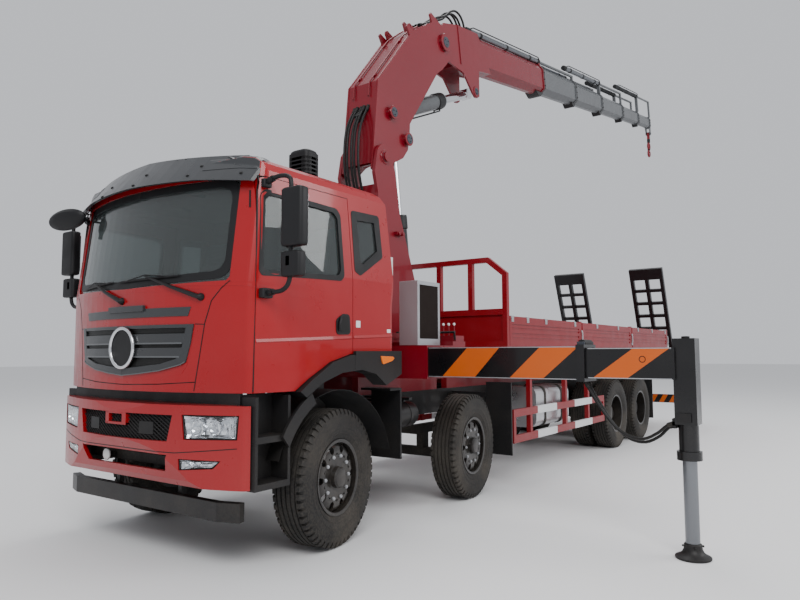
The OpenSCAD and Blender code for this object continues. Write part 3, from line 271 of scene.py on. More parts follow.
def skin(node, place, direction):
    """Where a ray from a place meets a node, counted from the front axle."""
    if node not in trees:
        mesh = nodes[node].data
        trees[node] = BVHTree.FromPolygons([v.co for v in mesh.vertices], [p.vertices for p in mesh.polygons])
    for nudge in (0.0, 0.0007, -0.0011, 0.003):  # a line that runs exactly along an edge can slip through
        hit = trees[node].ray_cast(at(*place) + Vector((nudge, nudge, nudge)), Vector(direction))[0]
        if hit:
            return hit - Vector((front_axle, 0, 0))
    return None


def front(node, y, z):
    """The point of a node that is seen from straight ahead at this width and height."""
    return skin(node, (3, y, z), (-1, 0, 0))


def nose(y, z, lift=0.0):
    """The foremost skin seen from ahead: the front panel where there is one, else the shell."""
    hits = [skin(node, (3, y, z), (-1, 0, 0)) for node in ("front_panel", "cab_shell")]
    return max((h for h in hits if h), key=lambda h: h.x) + Vector((lift, 0, 0))


def flank(node, x, z):
    """The point of a node that is seen from straight beside it, on the left."""
    return skin(node, (x, 4, z), (0, -1, 0))


def steps(a, b, count):
    """Evenly spaced numbers from a to b, both ends counted."""
    return [a + (b - a) * i / (count - 1) for i in range(count)]


def walk(corners, spacing=0.06, closed=True):
    """An outline of straight sides with more points added along each side."""
    path = []
    for i in range(len(corners) if closed else len(corners) - 1):
        a, b = Vector(corners[i]), Vector(corners[(i + 1) % len(corners)])
        parts = max(1, round((b - a).length / spacing))
        path += [a.lerp(b, k / parts) for k in range(parts)]
    return path if closed else path + [Vector(corners[-1])]


def rounded(corners, radius, sides=5):
    """An outline with each corner turned into an arc."""
    out = []
    for i, c in enumerate(corners):
        c, before, after = Vector(c), Vector(corners[i - 1]), Vector(corners[(i + 1) % len(corners)])
        one, two = (before - c).normalized(), (after - c).normalized()
        half = math.acos(max(-1, min(1, one.dot(two)))) / 2
        reach = min(radius / math.tan(half), (before - c).length * 0.45, (after - c).length * 0.45)
        for k in range(sides + 1):
            t = k / sides
            out.append((c + one * reach) * (1 - t) ** 2 + c * 2 * t * (1 - t) + (c + two * reach) * t ** 2)
    return out


print("windscreen centre meets the ray at", tuple(round(v, 3) for v in front("cab_glass", 0, 2.4)))

# %% [markdown]
# ## Effects shared by the finishes
# Road film, uneven colour and fine grain show on paint, rubber and plastic alike. Repeating the
# nodes in each material would work, but a node group keeps one copy with named sockets. The groups
# give only colours, values and heights; every shader node stays in its own material.

# %% Shared effects
def link(tree, *pairs):
    """Wires each output to its input."""
    for a, b in pairs:
        tree.links.new(a, b)


def group(name, inputs, outputs):
    """A new node group with named sockets, and its two inner ends."""
    tree = bpy.data.node_groups.new(name, "ShaderNodeTree")
    for kind, way in ((inputs, "INPUT"), (outputs, "OUTPUT")):
        for socket, type_name, value in kind:
            made = tree.interface.new_socket(name=socket, in_out=way, socket_type="NodeSocket" + type_name)
            if value is not None:
                made.default_value = value
    return tree, tree.nodes.new("NodeGroupInput"), tree.nodes.new("NodeGroupOutput")


def noise(tree, source, scale, detail=4.0):
    made = tree.nodes.new("ShaderNodeTexNoise")
    made.inputs["Scale"].default_value = scale
    made.inputs["Detail"].default_value = detail
    tree.links.new(source, made.inputs["Vector"])
    return made


def spread(tree, value, low, high, to_low=0.0, to_high=1.0):
    """The value with low to high stretched over a new range."""
    made = tree.nodes.new("ShaderNodeMapRange")
    for socket, number in (("From Min", low), ("From Max", high), ("To Min", to_low), ("To Max", to_high)):
        made.inputs[socket].default_value = number
    tree.links.new(value, made.inputs["Value"])
    return made.outputs["Result"]


def maths(tree, operation, one, two):
    made = tree.nodes.new("ShaderNodeMath")
    made.operation = operation
    for socket, value in zip(made.inputs, (one, two)):
        if isinstance(value, (int, float)):
            socket.default_value = value
        else:
            tree.links.new(value, socket)
    return made.outputs["Value"]


def blended(tree, factor, one, two):
    """A colour between two others."""
    made = tree.nodes.new("ShaderNodeMix")
    made.data_type = "RGBA"
    for socket, value in ((made.inputs[0], factor), (made.inputs[6], one), (made.inputs[7], two)):
        if isinstance(value, (int, float, tuple)):
            socket.default_value = value
        else:
            tree.links.new(value, socket)
    return made.outputs[2]


print("helpers for node trees ready")

# %% [markdown]
# ## Road film and grain
# On the real machine dust gathers low down and on ledges, and every finish has a grain of its own.
# A painted texture would need every surface unrolled; height, facing and noise need nothing of
# the kind and fit every piece.

# %% Road film and grain
# a road film that is thick low down and on upward faces, and patchy everywhere
film, enter, leave = group("road film",
                           [("Colour", "Color", (0.5, 0.5, 0.5, 1)), ("Dust", "Color", (0.32, 0.27, 0.21, 1)),
                            ("Amount", "Float", 0.3), ("Variation", "Float", 0.15)],
                           [("Colour", "Color", None), ("Mask", "Float", None)])
place = film.nodes.new("ShaderNodeTexCoord")
apart = film.nodes.new("ShaderNodeSeparateXYZ")
facing = film.nodes.new("ShaderNodeNewGeometry")
upright = film.nodes.new("ShaderNodeSeparateXYZ")
link(film, (place.outputs["Object"], apart.inputs[0]), (facing.outputs["Normal"], upright.inputs[0]))
low_down = spread(film, apart.outputs["Z"], 2.2, 0.2)
on_top = spread(film, upright.outputs["Z"], 0.4, 1.0)
patches = spread(film, noise(film, place.outputs["Object"], 2.3, 6).outputs["Fac"], 0.42, 0.68)
specks = spread(film, noise(film, place.outputs["Object"], 60, 2).outputs["Fac"], 0.35, 0.7)
reach = maths(film, "MAXIMUM", low_down, on_top)
patchy = maths(film, "ADD", maths(film, "MULTIPLY", patches, 0.6), maths(film, "MULTIPLY", specks, 0.4))
mask = maths(film, "MULTIPLY", maths(film, "MULTIPLY", reach, patchy), enter.outputs["Amount"])
clouds = spread(film, noise(film, place.outputs["Object"], 0.9, 2).outputs["Fac"], 0.3, 0.7, -0.5, 0.5)
tone = maths(film, "ADD", maths(film, "MULTIPLY", clouds, enter.outputs["Variation"]), 1.0)
shade = film.nodes.new("ShaderNodeVectorMath")
shade.operation = "SCALE"
link(film, (enter.outputs["Colour"], shade.inputs[0]), (tone, shade.inputs["Scale"]),
     (blended(film, mask, shade.outputs[0], enter.outputs["Dust"]), leave.inputs["Colour"]),
     (mask, leave.inputs["Mask"]))

# a fine grain: orange peel in enamel, moulded texture in plastic, pits in iron
grain, enter, leave = group("fine grain", [("Scale", "Float", 300.0), ("Roughness", "Float", 0.4)],
                            [("Height", "Float", None), ("Roughness", "Float", None)])
place = grain.nodes.new("ShaderNodeTexCoord")
fine = noise(grain, place.outputs["Object"], 300, 3)
link(grain, (enter.outputs["Scale"], fine.inputs["Scale"]), (fine.outputs["Fac"], leave.inputs["Height"]))
uneven = spread(grain, noise(grain, place.outputs["Object"], 7, 5).outputs["Fac"], 0.3, 0.7, -0.06, 0.06)
link(grain, (maths(grain, "ADD", enter.outputs["Roughness"], uneven), leave.inputs["Roughness"]))
print("node groups:", [g.name for g in bpy.data.node_groups])

# %% [markdown]
# ## Finishes
# The cab's enamel is bright and glossy with a clear coat; the crane's is a deeper crimson. Chassis
# parts are satin black, boxes of the boom light grey, rods hard chrome. Each finish is one
# Principled shader fed by the two groups, so the machine ages evenly.

# %% Finishes
finishes = {}


def finish(name, slot, colour, rough, metal=0.0, coat=0.0, dust=0.3, scale=300, relief=0.02):
    """An opaque finish: film and grain round one Principled shader; slot is its name in the record."""
    made = bpy.data.materials.new(name)
    made.use_nodes = True
    tree = made.node_tree
    shader = tree.nodes["Principled BSDF"]
    film_node = tree.nodes.new("ShaderNodeGroup")
    film_node.node_tree = film
    film_node.inputs["Colour"].default_value = (*colour, 1)
    film_node.inputs["Amount"].default_value = dust
    film_node.inputs["Variation"].default_value = 0.12
    grain_node = tree.nodes.new("ShaderNodeGroup")
    grain_node.node_tree = grain
    grain_node.inputs["Scale"].default_value = scale
    grain_node.inputs["Roughness"].default_value = rough
    bump = tree.nodes.new("ShaderNodeBump")
    bump.inputs["Strength"].default_value = relief
    bump.inputs["Distance"].default_value = 0.002
    dusty = maths(tree, "ADD", grain_node.outputs["Roughness"],
                  maths(tree, "MULTIPLY", film_node.outputs["Mask"], 0.5))
    link(tree, (film_node.outputs["Colour"], shader.inputs["Base Color"]),
         (dusty, shader.inputs["Roughness"]), (grain_node.outputs["Height"], bump.inputs["Height"]),
         (bump.outputs["Normal"], shader.inputs["Normal"]))
    if metal:
        link(tree, (maths(tree, "SUBTRACT", metal, film_node.outputs["Mask"]), shader.inputs["Metallic"]))
    if coat:
        link(tree, (maths(tree, "SUBTRACT", coat, film_node.outputs["Mask"]), shader.inputs["Coat Weight"]))
        shader.inputs["Coat Roughness"].default_value = 0.06
    shader.inputs["Specular IOR Level"].default_value = 0.5 if metal else 0.3
    made["slot"] = slot
    finishes[name] = made
    return made


cab_red = finish("cab enamel", "red_paint", (0.30, 0.0005, 0.004), 0.32, coat=0.45, dust=0.05, relief=0.004)
crane_red = finish("crane enamel", "dark_red_paint", (0.17, 0.0005, 0.008), 0.36,
                   coat=0.35, dust=0.06, relief=0.004)
body_red = finish("body enamel", "dark_red_paint", (0.21, 0.0008, 0.006), 0.42,
                  coat=0.3, dust=0.10, relief=0.004)
black = finish("chassis black", "black_paint", (0.006, 0.006, 0.007), 0.42, coat=0.15, dust=0.10)
beam_black = finish("beam black", "black_paint", (0.004, 0.004, 0.005), 0.3, coat=0.35, dust=0.04)
grey = finish("boom grey", "grey_paint", (0.085, 0.09, 0.095), 0.36, coat=0.35, dust=0.05)
plastic = finish("moulded plastic", "black_plastic", (0.008, 0.008, 0.009), 0.5,
                 dust=0.06, scale=900, relief=0.06)
visor_grey = finish("smoked plastic", "black_plastic", (0.030, 0.032, 0.035), 0.32, coat=0.3, dust=0.05)
rubber = finish("tyre rubber", "tyre", (0.012, 0.0115, 0.0115), 0.68, dust=0.22, scale=500, relief=0.08)
# black for hoses, seams and small dark parts; the same black is painted shade in the door handles' recesses
# and the main boom's opening
hose_black_and_shade = finish("hose rubber", "black_plastic", (0.005, 0.005, 0.005), 0.45,
                    dust=0.04, scale=700, relief=0.05)
chrome = finish("hard chrome", "rod_steel", (0.72, 0.73, 0.75), 0.12, metal=1.0, dust=0.05, relief=0.005)
# silver paint for nuts, latches and levers; on the outrigger beams' edges the same silver is a painted
# highlight
silver_and_highlight = finish("silver paint", "steel", (0.42, 0.43, 0.45), 0.34, metal=0.6, dust=0.15)
rim_steel = finish("rim steel", "black_paint", (0.007, 0.006, 0.006), 0.34, coat=0.4, dust=0.14)
aluminium = finish("tank aluminium", "tank_aluminium", (0.62, 0.63, 0.65), 0.3,
                   metal=0.9, dust=0.12, scale=150)
iron = finish("running gear iron", "iron", (0.009, 0.0085, 0.008), 0.6, dust=0.22, scale=120, relief=0.15)
trim = finish("cab trim", "trim", (0.07, 0.07, 0.075), 0.75, dust=0.05, scale=600, relief=0.1)
cloth = finish("seat cloth", "trim", (0.10, 0.10, 0.11), 0.9, dust=0.03, scale=1200, relief=0.25)
orange = finish("orange stripe", "red_paint", (0.55, 0.095, 0.002), 0.45, coat=0.3, dust=0.12)
white = finish("white stripe", "steel", (0.62, 0.63, 0.64), 0.4, coat=0.3, dust=0.2)
label_white = finish("pale plastic", "steel", (0.70, 0.71, 0.70), 0.4, coat=0.3, dust=0.05)
reflector = finish("lamp bowl", "rod_steel", (0.80, 0.81, 0.83), 0.14, metal=0.95,
                   dust=0.02, scale=60, relief=0.12)
amber = finish("amber lens", "red_paint", (0.75, 0.16, 0.01), 0.2, coat=0.8, dust=0.05)
slate = finish("pin cap slate", "grey_paint", (0.035, 0.042, 0.055), 0.42, coat=0.2, dust=0.03)
jack_steel = finish("jack ram steel", "rod_steel", (0.20, 0.21, 0.225), 0.30,
                    metal=0.85, dust=0.04, relief=0.004)
core_brown = finish("cooler core", "iron", (0.018, 0.011, 0.009), 0.6, dust=0.10)
print("finishes:", ", ".join(finishes))

# %% [markdown]
# ## Glass, and the frame's own finishes
# The windows are tinted and let light through, the lamp covers are clear. Both are one shader with
# transmission. The frame's nodes that stay in sight get their finish from one table, so that none
# is left bare.

# %% Glass and finishes of the frame
def glass(name, slot, tint, clear, rough):
    made = bpy.data.materials.new(name)
    made.use_nodes = True
    tree = made.node_tree
    shader = tree.nodes["Principled BSDF"]
    shader.inputs["Metallic"].default_value = 0.0
    shader.inputs["Transmission Weight"].default_value = clear
    shader.inputs["IOR"].default_value = 1.45
    film_node = tree.nodes.new("ShaderNodeGroup")
    film_node.node_tree = film
    film_node.inputs["Colour"].default_value = (*tint, 1)
    film_node.inputs["Amount"].default_value = 0.08
    film_node.inputs["Variation"].default_value = 0.05
    link(tree, (film_node.outputs["Colour"], shader.inputs["Base Color"]),
         (maths(tree, "ADD", maths(tree, "MULTIPLY", film_node.outputs["Mask"], 0.4), rough),
          shader.inputs["Roughness"]))
    made["slot"] = slot
    finishes[name] = made
    return made


window = glass("window glass", "glass", (0.22, 0.26, 0.26), 0.88, 0.02)
lens = glass("lamp lens", "lamp_glass", (0.93, 0.95, 0.97), 1.0, 0.03)

node_finish = {
    cab_red: ("cab_shell", "door_left", "door_right", "bumper", "front_panel"),
    crane_red: ("column", "main_boom", "outer_boom", "crane_base", "hook"),
    body_red: ("side_guards", "bed_floor", "headboard", "dropside_left", "dropside_right"),
    black: ("chassis_frame", "underrun_guards", "ramp_left", "ramp_right"),
    beam_black: ("outrigger_beam_left", "outrigger_beam_right", "outrigger_arm_left", "outrigger_arm_right",
                 "lift_barrel"),
    iron: ("axles", "engine_block", "knuckle_left_1", "knuckle_left_2", "knuckle_right_1", "knuckle_right_2"),
    plastic: ("mudguards", "wheel_arches", "mirror_left", "mirror_right"),
    visor_grey: ("sun_visor",),
    grey: ("fold_barrel", *(f"boom_stage_{i}" for i in range(1, 6))),
    chrome: ("lift_rod", "fold_rod", "jack_left", "jack_right"),
    aluminium: ("fuel_tank",),
    trim: ("cab_interior",),
    reflector: ("front_lamps",),
    window: ("cab_glass", "door_glass_left", "door_glass_right"),
    rubber: tuple(n for n in nodes if n.startswith(("wheel_left", "wheel_right"))),
}
for made, names in node_finish.items():
    for n in names:
        mesh = nodes[n].data
        mesh.materials.clear()
        mesh.materials.append(made)
        for face in mesh.polygons:
            face.material_index = 0
bare = [n for n in nodes if not any(n in names for names in node_finish.values())]
print(len(finishes), "finishes; nodes without one:", bare)

# %% [markdown]
# ## Hoses
# Free hoses cross the places where the crane moves: under each outrigger, in front of the column
# and over the elbow. A bevelled curve would draw them, but it can't follow two bodies. Each hose is
# a mesh tube along one smooth line that rides on no body; only its steel ends ride on the bodies it joins.

# %% Hoses
def spline(points, count):
    """A smooth line through the given points, as count evenly spaced ones."""
    points = [Vector(p) for p in points]
    ends = [points[0] * 2 - points[1]] + points + [points[-1] * 2 - points[-2]]
    dense = []
    for a, b, c, d in zip(ends, ends[1:], ends[2:], ends[3:]):
        for k in range(40):
            t = k / 40
            dense.append(0.5 * (2 * b + (c - a) * t + (2 * a - 5 * b + 4 * c - d) * t * t
                                + (3 * b - a - 3 * c + d) * t ** 3))
    dense.append(points[-1])
    run = [0.0]
    for a, b in zip(dense, dense[1:]):
        run.append(run[-1] + (b - a).length)
    out, k = [], 0
    for i in range(count):
        want = run[-1] * i / (count - 1)
        while k < len(run) - 2 and run[k + 1] < want:
            k += 1
        part = (want - run[k]) / max(run[k + 1] - run[k], 1e-9)
        out.append(dense[k].lerp(dense[k + 1], min(1, part)))
    return out, run[-1]


def hose(name, bodies, points, diameter, count=32, mirror=False):
    """A free hose between two bodies, and the crimped steel end at each of its ends."""
    if mirror:
        points = [(x, -y, z) for x, y, z in points]
    line, length = spline(points, count)
    tube = Shape()
    tube.tube(line, diameter / 2, 14)
    piece = tube.piece(name, None, hose_black_and_shade)
    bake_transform(piece)
    for k, (body, a, b) in enumerate(((bodies[0], line[0], line[1]), (bodies[1], line[-1], line[-2]))):
        ferrule, way = Shape(), (b - a).normalized()
        profile = [(diameter * r, t) for r, t in ((0.72, -0.012), (0.72, 0.05), (0.56, 0.062))]
        ferrule.turned(profile, a, way, 16)
        ferrule.turned([(diameter * 0.9, -0.012), (diameter * 0.9, 0.0)], a, way, 6)
        ferrule.piece(f"{name}_end_{k + 1}", body, iron)
    print(f"{name}: {length:.2f} m long, {diameter * 1000:.0f} mm across")


print("hose helpers ready")

# %% [markdown]
# ## The hoses of the crane
# Each row of hoses is one list of points, shifted sideways for its neighbours. Simulated cords
# would hang truly but differ on each run; chosen points keep every hose clear of the steel.

# %% The hoses of the crane
# from the outrigger's beam to its jack, sagging below the sliding arm
for side, x, flip in (("left", -1.275, False), ("right", -1.575, True)):
    for k in (0, 1):
        a = x - 0.055 * k
        hose(f"jack_hose_{side}_{k + 1}", (f"outrigger_beam_{side}", f"outrigger_arm_{side}"),
             [(a, 2.72, 1.296), (a, 2.755, 1.225), (a, 2.83, 1.10), (a, 2.94, 0.955 - 0.02 * k),
              (a, 3.05, 0.875 - 0.03 * k), (a, 3.17, 0.853 - 0.03 * k), (a, 3.28, 0.905 - 0.03 * k),
              (a, 3.35, 0.965 - 0.02 * k), (a, 3.412, 0.99 - 0.02 * k)],
             0.024, mirror=flip)
# over the elbow, from the main boom's top plate to the first box
for k, y in enumerate((-0.075, -0.025, 0.03, 0.08)):
    high = 0.03 * (k % 2)
    hose(f"elbow_hose_{k + 1}", ("main_boom", "outer_boom"),
         [(-2.83, y, 5.735), (-3.05, y, 5.86), (-3.25, y, 5.98 + high), (-3.46, y, 6.09 + high),
          (-3.60, y, 6.21 + high), (-3.74, y, 6.28 + high), (-3.87, y, 6.27 + high), (-3.96, y, 6.19 + high),
          (-4.0, y, 6.094)], 0.030)
# up the front of the column into the main boom
for k, y in enumerate((-0.10, -0.05, 0.0, 0.05, 0.10)):
    out = 0.012 * (k % 2)
    hose(f"column_hose_{k + 1}", ("column", "main_boom"),
         [(-1.695, y, 3.16), (-1.655 + out, y, 3.27), (-1.600 + out, y, 3.42), (-1.560 + out, y, 3.62),
          (-1.560 + out, y, 3.84), (-1.590 + out, y, 4.03), (-1.66 + out, y, 4.19), (-1.74 + out, y, 4.32)],
         0.028)

# %% [markdown]
# ## Wheels
# A truck tyre is read from its shoulder blocks, its grooves and the ribs of its sidewall, so the
# plain rings of the frame are replaced. The tread is a turned profile with its grooves in it, and
# the shoulder blocks are set round it one by one. The rim is a pressed dish with ten hand holes.

# %% Tyre and rim
wheel_joints = {j["child"]: j for j in frame["joints"] if j["child"].startswith("wheel_")}
tyre_r, tyre_half, rim_r = 0.5405, 0.1445, 0.299


def tyre(shape, middle):
    """A tyre round the axis z, its middle at the given distance along it."""
    half = [(rim_r - 0.012, 0.100), (rim_r + 0.004, 0.116), (rim_r + 0.016, 0.122), (rim_r + 0.03, 0.128),
            (rim_r + 0.045, 0.136), (rim_r + 0.052, 0.134), (rim_r + 0.09, 0.1435), (rim_r + 0.096, 0.1415),
            (rim_r + 0.125, tyre_half), (rim_r + 0.150, 0.1435), (rim_r + 0.156, 0.1415),
            (rim_r + 0.185, 0.139), (rim_r + 0.19, 0.137), (tyre_r - 0.040, 0.129),
            (tyre_r - 0.024, 0.119), (tyre_r - 0.020, 0.094)]
    grooves = []
    for y in (0.082, 0.041, 0.0):
        grooves += [(tyre_r - 0.001, y + 0.0065), (tyre_r - 0.015, y + 0.004), (tyre_r - 0.015, y - 0.004),
                    (tyre_r - 0.001, y - 0.0065)]
    outer = half + [(tyre_r - 0.001, 0.092)] + grooves[:-2]
    profile = outer + [(r, -t) for r, t in outer[::-1]]
    shape.turned([(r, t + middle) for r, t in profile], sides=120, closed=True)
    for k in range(54):
        turn = 2 * math.pi * k / 54
        for side in (1, -1):
            a = turn + (0.5 * 2 * math.pi / 54 if side < 0 else 0)
            corners = []
            for angle in (a - 0.037, a + 0.037):
                for t, low, high in ((0.090, tyre_r - 0.030, tyre_r), (0.121, tyre_r - 0.032, tyre_r - 0.003),
                                     (0.1365, tyre_r - 0.062, tyre_r - 0.034)):
                    for r in (low, high):
                        corners.append((r * math.cos(angle), r * math.sin(angle), middle + side * t))
            shape.add(corners, [(0, 1, 3, 2), (2, 3, 5, 4), (6, 8, 9, 7), (8, 10, 11, 9), (1, 7, 9, 3),
                                (3, 9, 11, 5), (0, 6, 7, 1), (4, 5, 11, 10), (0, 2, 8, 6), (2, 4, 10, 8)])


print("tyre:", tyre_r * 2, "m across,", tyre_half * 2, "m wide")

# %% [markdown]
# ## Rim and nuts
# The rim is pressed from one plate with oval hand holes. Cutting them with a boolean leaves long
# thin faces that shade badly, so rings of points are laid round each hole.

# %% Rim and nuts
def rim(shape, profile_in, plate, holes=10, hole_r=0.224, long=0.033, wide=0.027):
    """A dish with oval holes: rings of points run round each hole so that the holes are real."""
    barrel = [(0.270, -0.118), (0.291, -0.122), (0.299, -0.121), (0.299, -0.114), (0.2845, -0.105),
              (0.2845, 0.105), (0.299, 0.114), (0.299, 0.121), (0.291, 0.122), (0.272, 0.116)]
    shape.turned([(r, t + plate) for r, t in barrel], sides=96, closed=True)
    inner_r, outer_r, plate_thick = 0.176, 0.272, 0.012
    turn = 2 * math.pi / holes
    around = 16

    def dish(r):
        for (r0, t0), (r1, t1) in zip(profile_in, profile_in[1:]):
            if r0 <= r <= r1:
                return t0 + (t1 - t0) * (r - r0) / (r1 - r0)
        return profile_in[-1][1]

    for k in range(holes):
        middle = turn * k
        edge, hole = [], []
        for i in range(around):
            a = 2 * math.pi * i / around + math.pi / around
            c, s = math.cos(a), math.sin(a)
            hole.append((hole_r + long * c, middle + wide * s / hole_r))
            big = 1 / max(abs(c), abs(s))
            r = min(max(hole_r + c * big * (outer_r - hole_r if c > 0 else hole_r - inner_r), inner_r),
                    outer_r)
            edge.append((r, middle + s * big * turn / 2))
        points = [(r * math.cos(a), r * math.sin(a), dish(r)) for r, a in edge + hole]
        points += [(x, y, z - plate_thick) for x, y, z in points]
        faces = []
        for i in range(around):
            j = (i + 1) % around
            for face in (((i, 0), (j, 0), (j, 1), (i, 1)), ((i, 2), (i, 3), (j, 3), (j, 2)),
                         ((i, 1), (j, 1), (j, 3), (i, 3))):
                faces.append([q + loop * around for q, loop in face])
        shape.add(points, faces)
    shape.turned([(0.05, dish(0.06)), (inner_r, dish(inner_r)), (inner_r, dish(inner_r) - plate_thick),
                  (0.05, dish(0.06) - plate_thick)], sides=80, closed=True)
    shape.turned([(outer_r, dish(outer_r)), (0.289, profile_in[-1][1]), (0.289, profile_in[-1][1] - 0.02),
                  (outer_r, dish(outer_r) - plate_thick)], sides=80, closed=True)


def nuts(shape, level, high, r=0.1675, count=10):
    """Wheel nuts on washers round a circle: a collar, a hexagon and the stud's end each."""
    for k in range(count):
        a = 2 * math.pi * k / count
        centre = (r * math.cos(a), r * math.sin(a), level)
        shape.turned([(0.020, 0), (0.020, 0.003), (0.0165, 0.005)], centre, sides=20)
        shape.turned([(0.0158, 0.004), (0.0158, high), (0.013, high + 0.003)], centre, sides=6)
        shape.turned([(0.009, high), (0.009, high + 0.007), (0.007, high + 0.008)], centre, sides=12)


def wheel_place(body):
    """Turns local points, with z pointing out of the wheel, into the wheel's place."""
    joint = wheel_joints[body]
    axis = Vector(joint["axis"]).normalized()
    side = 1 if "left" in body else -1
    out = axis * (1 if axis.y * side > 0 else -1)
    one = out.cross(Vector((0, 0, 1))).normalized()
    two = out.cross(one)
    low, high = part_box(body)
    centre = (low + high) / 2
    return lambda p: centre + one * p.x + two * p.y + out * p.z


print("rim helpers ready")

# %% [markdown]
# ## Setting up the wheels
# Steered wheels are single and their dish bulges outwards; the driven ones are twins with a deep
# dish and a wide hub. Each is built round its own axle line and rides on its wheel's body.

# %% Setting up the wheels
for body in sorted(wheel_joints):
    place = wheel_place(body)
    steered = body[-1] in "12"
    tread, dish_shape, bolt = Shape(), Shape(), Shape()
    if steered:
        tyre(tread, 0.0)
        rim(dish_shape, [(0.04, 0.090), (0.150, 0.090), (0.186, 0.104), (0.235, 0.098),
                         (0.272, 0.074), (0.289, 0.056)], 0.0)
        dish_shape.turned([(0.001, 0.150), (0.045, 0.150), (0.070, 0.144), (0.082, 0.130),
                           (0.086, 0.096), (0.120, 0.090)])
        nuts(bolt, 0.090, 0.020)
    else:
        tyre(tread, 0.165)
        tyre(tread, -0.165)
        rim(dish_shape, [(0.04, 0.010), (0.150, 0.010), (0.190, 0.004), (0.235, 0.020),
                         (0.272, 0.062), (0.289, 0.075)], 0.165)
        rim(dish_shape, [(0.04, -0.004), (0.150, -0.004), (0.190, -0.006), (0.235, -0.02), (0.272, -0.06),
                         (0.289, -0.075)], -0.165)
        dish_shape.turned([(0.001, 0.205), (0.085, 0.205), (0.104, 0.196), (0.112, 0.170),
                           (0.116, 0.03), (0.150, 0.010)])
        dish_shape.turned([(0.135, 0.150), (0.135, 0.160), (0.118, 0.162)])
        nuts(bolt, 0.010, 0.016)
    piece = tread.piece(f"{body}_tyre", body, rubber, move=place, angle=28)
    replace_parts(piece, body)
    dish_shape.piece(f"{body}_rim", body, rim_steel, move=place, angle=28)
    bolt.piece(f"{body}_nuts", body, silver_and_highlight, move=place, angle=30)
print("wheels dressed:", len(wheel_joints))

# %% [markdown]
# ## The cab's front
# Below the belt line the front is upright and only bows from side to side, so one ray gives its
# depth at each width. Slats, strips and seams are bands that follow this bow. Flat plates would be
# simpler, but they would sink into the panel in the middle or float at its ends.

# %% Grille, strips and ring
def bow(y):
    """How far forward the front panel stands at this width."""
    return front("front_panel", max(-0.71, min(0.71, y)), 1.30).x


def across(y0, y1, z0, z1, lift, count=25):
    """A line across the cab's front that follows its bow."""
    return [Vector((bow(y) + lift, y, z)) for y, z in zip(steps(y0, y1, count), steps(z0, z1, count))]


def strip(shape, y0, y1, low, high, lift, thick, slant=0.0):
    """A band across the front between two heights; slant moves the lower ends inwards."""
    shape.band(across(y0 + slant, y1 - slant, low, low, lift), across(y0, y1, high, high, lift),
               (-thick, 0, 0), closed=False)


def on_bow(s, lift, *pairs):
    """A line that follows the bow through (y, z) pairs; s is 1 on the left and -1 on the right."""
    return [Vector((bow(y * s) + lift, y * s, z)) for y, z in pairs]


backing, slats, edges, apron = Shape(), Shape(), Shape(), Shape()
strip(backing, -0.70, 0.70, 1.36, 1.722, -0.004, 0.003, 0.06)
for low, high, inset in ((1.598, 1.672, 0.035), (1.500, 1.570, 0.055)):
    strip(slats, -0.70 + inset, 0.70 - inset, low, high, 0.012, 0.016)
    strip(edges, -0.66 + inset, 0.66 - inset, low - 0.002, low + 0.010, 0.0145, 0.006)
strip(slats, -0.716, 0.716, 1.712, 1.738, 0.010, 0.014)
for s in (1, -1):
    low_line = on_bow(s, 0.014, (0.0, 1.362), (0.2, 1.378), (0.42, 1.402), (0.62, 1.447), (0.655, 1.466))
    high_line = on_bow(s, 0.014, (0.0, 1.418), (0.2, 1.432), (0.42, 1.452), (0.57, 1.488), (0.60, 1.51))
    slats.band(low_line, high_line, (-0.018, 0, 0), closed=False)
    edges.band([p + Vector((0.003, 0, -0.002)) for p in low_line],
               [p + Vector((0.003, 0, 0.006)) for p in low_line], (-0.006, 0, 0), closed=False)
    slats.band(on_bow(s, 0.013, (0.60, 1.49), (0.632, 1.60), (0.66, 1.735)),
               on_bow(s, 0.013, (0.655, 1.462), (0.695, 1.60), (0.718, 1.738)), (-0.017, 0, 0), closed=False)
    apron.band(on_bow(s, 0.0015, (0.0, 1.338), (0.3, 1.338), (0.425, 1.338), (0.62, 1.386), (0.665, 1.44)),
               on_bow(s, 0.0015, (0.0, 1.366), (0.2, 1.382), (0.42, 1.406), (0.62, 1.450), (0.668, 1.47)),
               (-0.006, 0, 0), closed=False)
for z in steps(1.44, 1.70, 14):
    strip(backing, -0.62, 0.62, z, z + 0.006, 0.0, 0.004)
backing.piece("grille_backing", "cab", hose_black_and_shade)
slats.piece("grille_slats", "cab", visor_grey, 0.004)
edges.piece("grille_edges", "cab", grey)
apron.piece("grille_apron", "cab", cab_red)
ring = Shape()
ring.turned([(0.148 + 0.014 * math.cos(a), 0.026 + 0.014 * math.sin(a))
             for a in steps(0, 2 * math.pi * 11 / 12, 12)], (bow(0), 0.01, 1.571), (1, 0, 0), 72, closed=True)
ring.piece("grille_ring", "cab", chrome)
disc = Shape()
disc.turned([(0.002, 0.021), (0.144, 0.021), (0.150, 0.010), (0.002, 0.004)],
            (bow(0), 0.01, 1.571), (1, 0, 0), 64)
disc.piece("grille_disc", "cab", plastic)
upper = Shape()
strip(upper, -0.63, 0.69, 1.796, 1.862, 0.008, 0.012, 0.025)
strip(upper, -0.205, 0.245, 1.842, 1.887, 0.024, 0.030)
upper.piece("upper_strip", "cab", visor_grey, 0.004)
print("grille made")

# %% [markdown]
# ## Seams
# Body panels are read by the dark lines between them. Cutting real gaps would mean carving the rigid
# frame, so each seam is a dark strip a few millimetres wide that lies just on the skin.

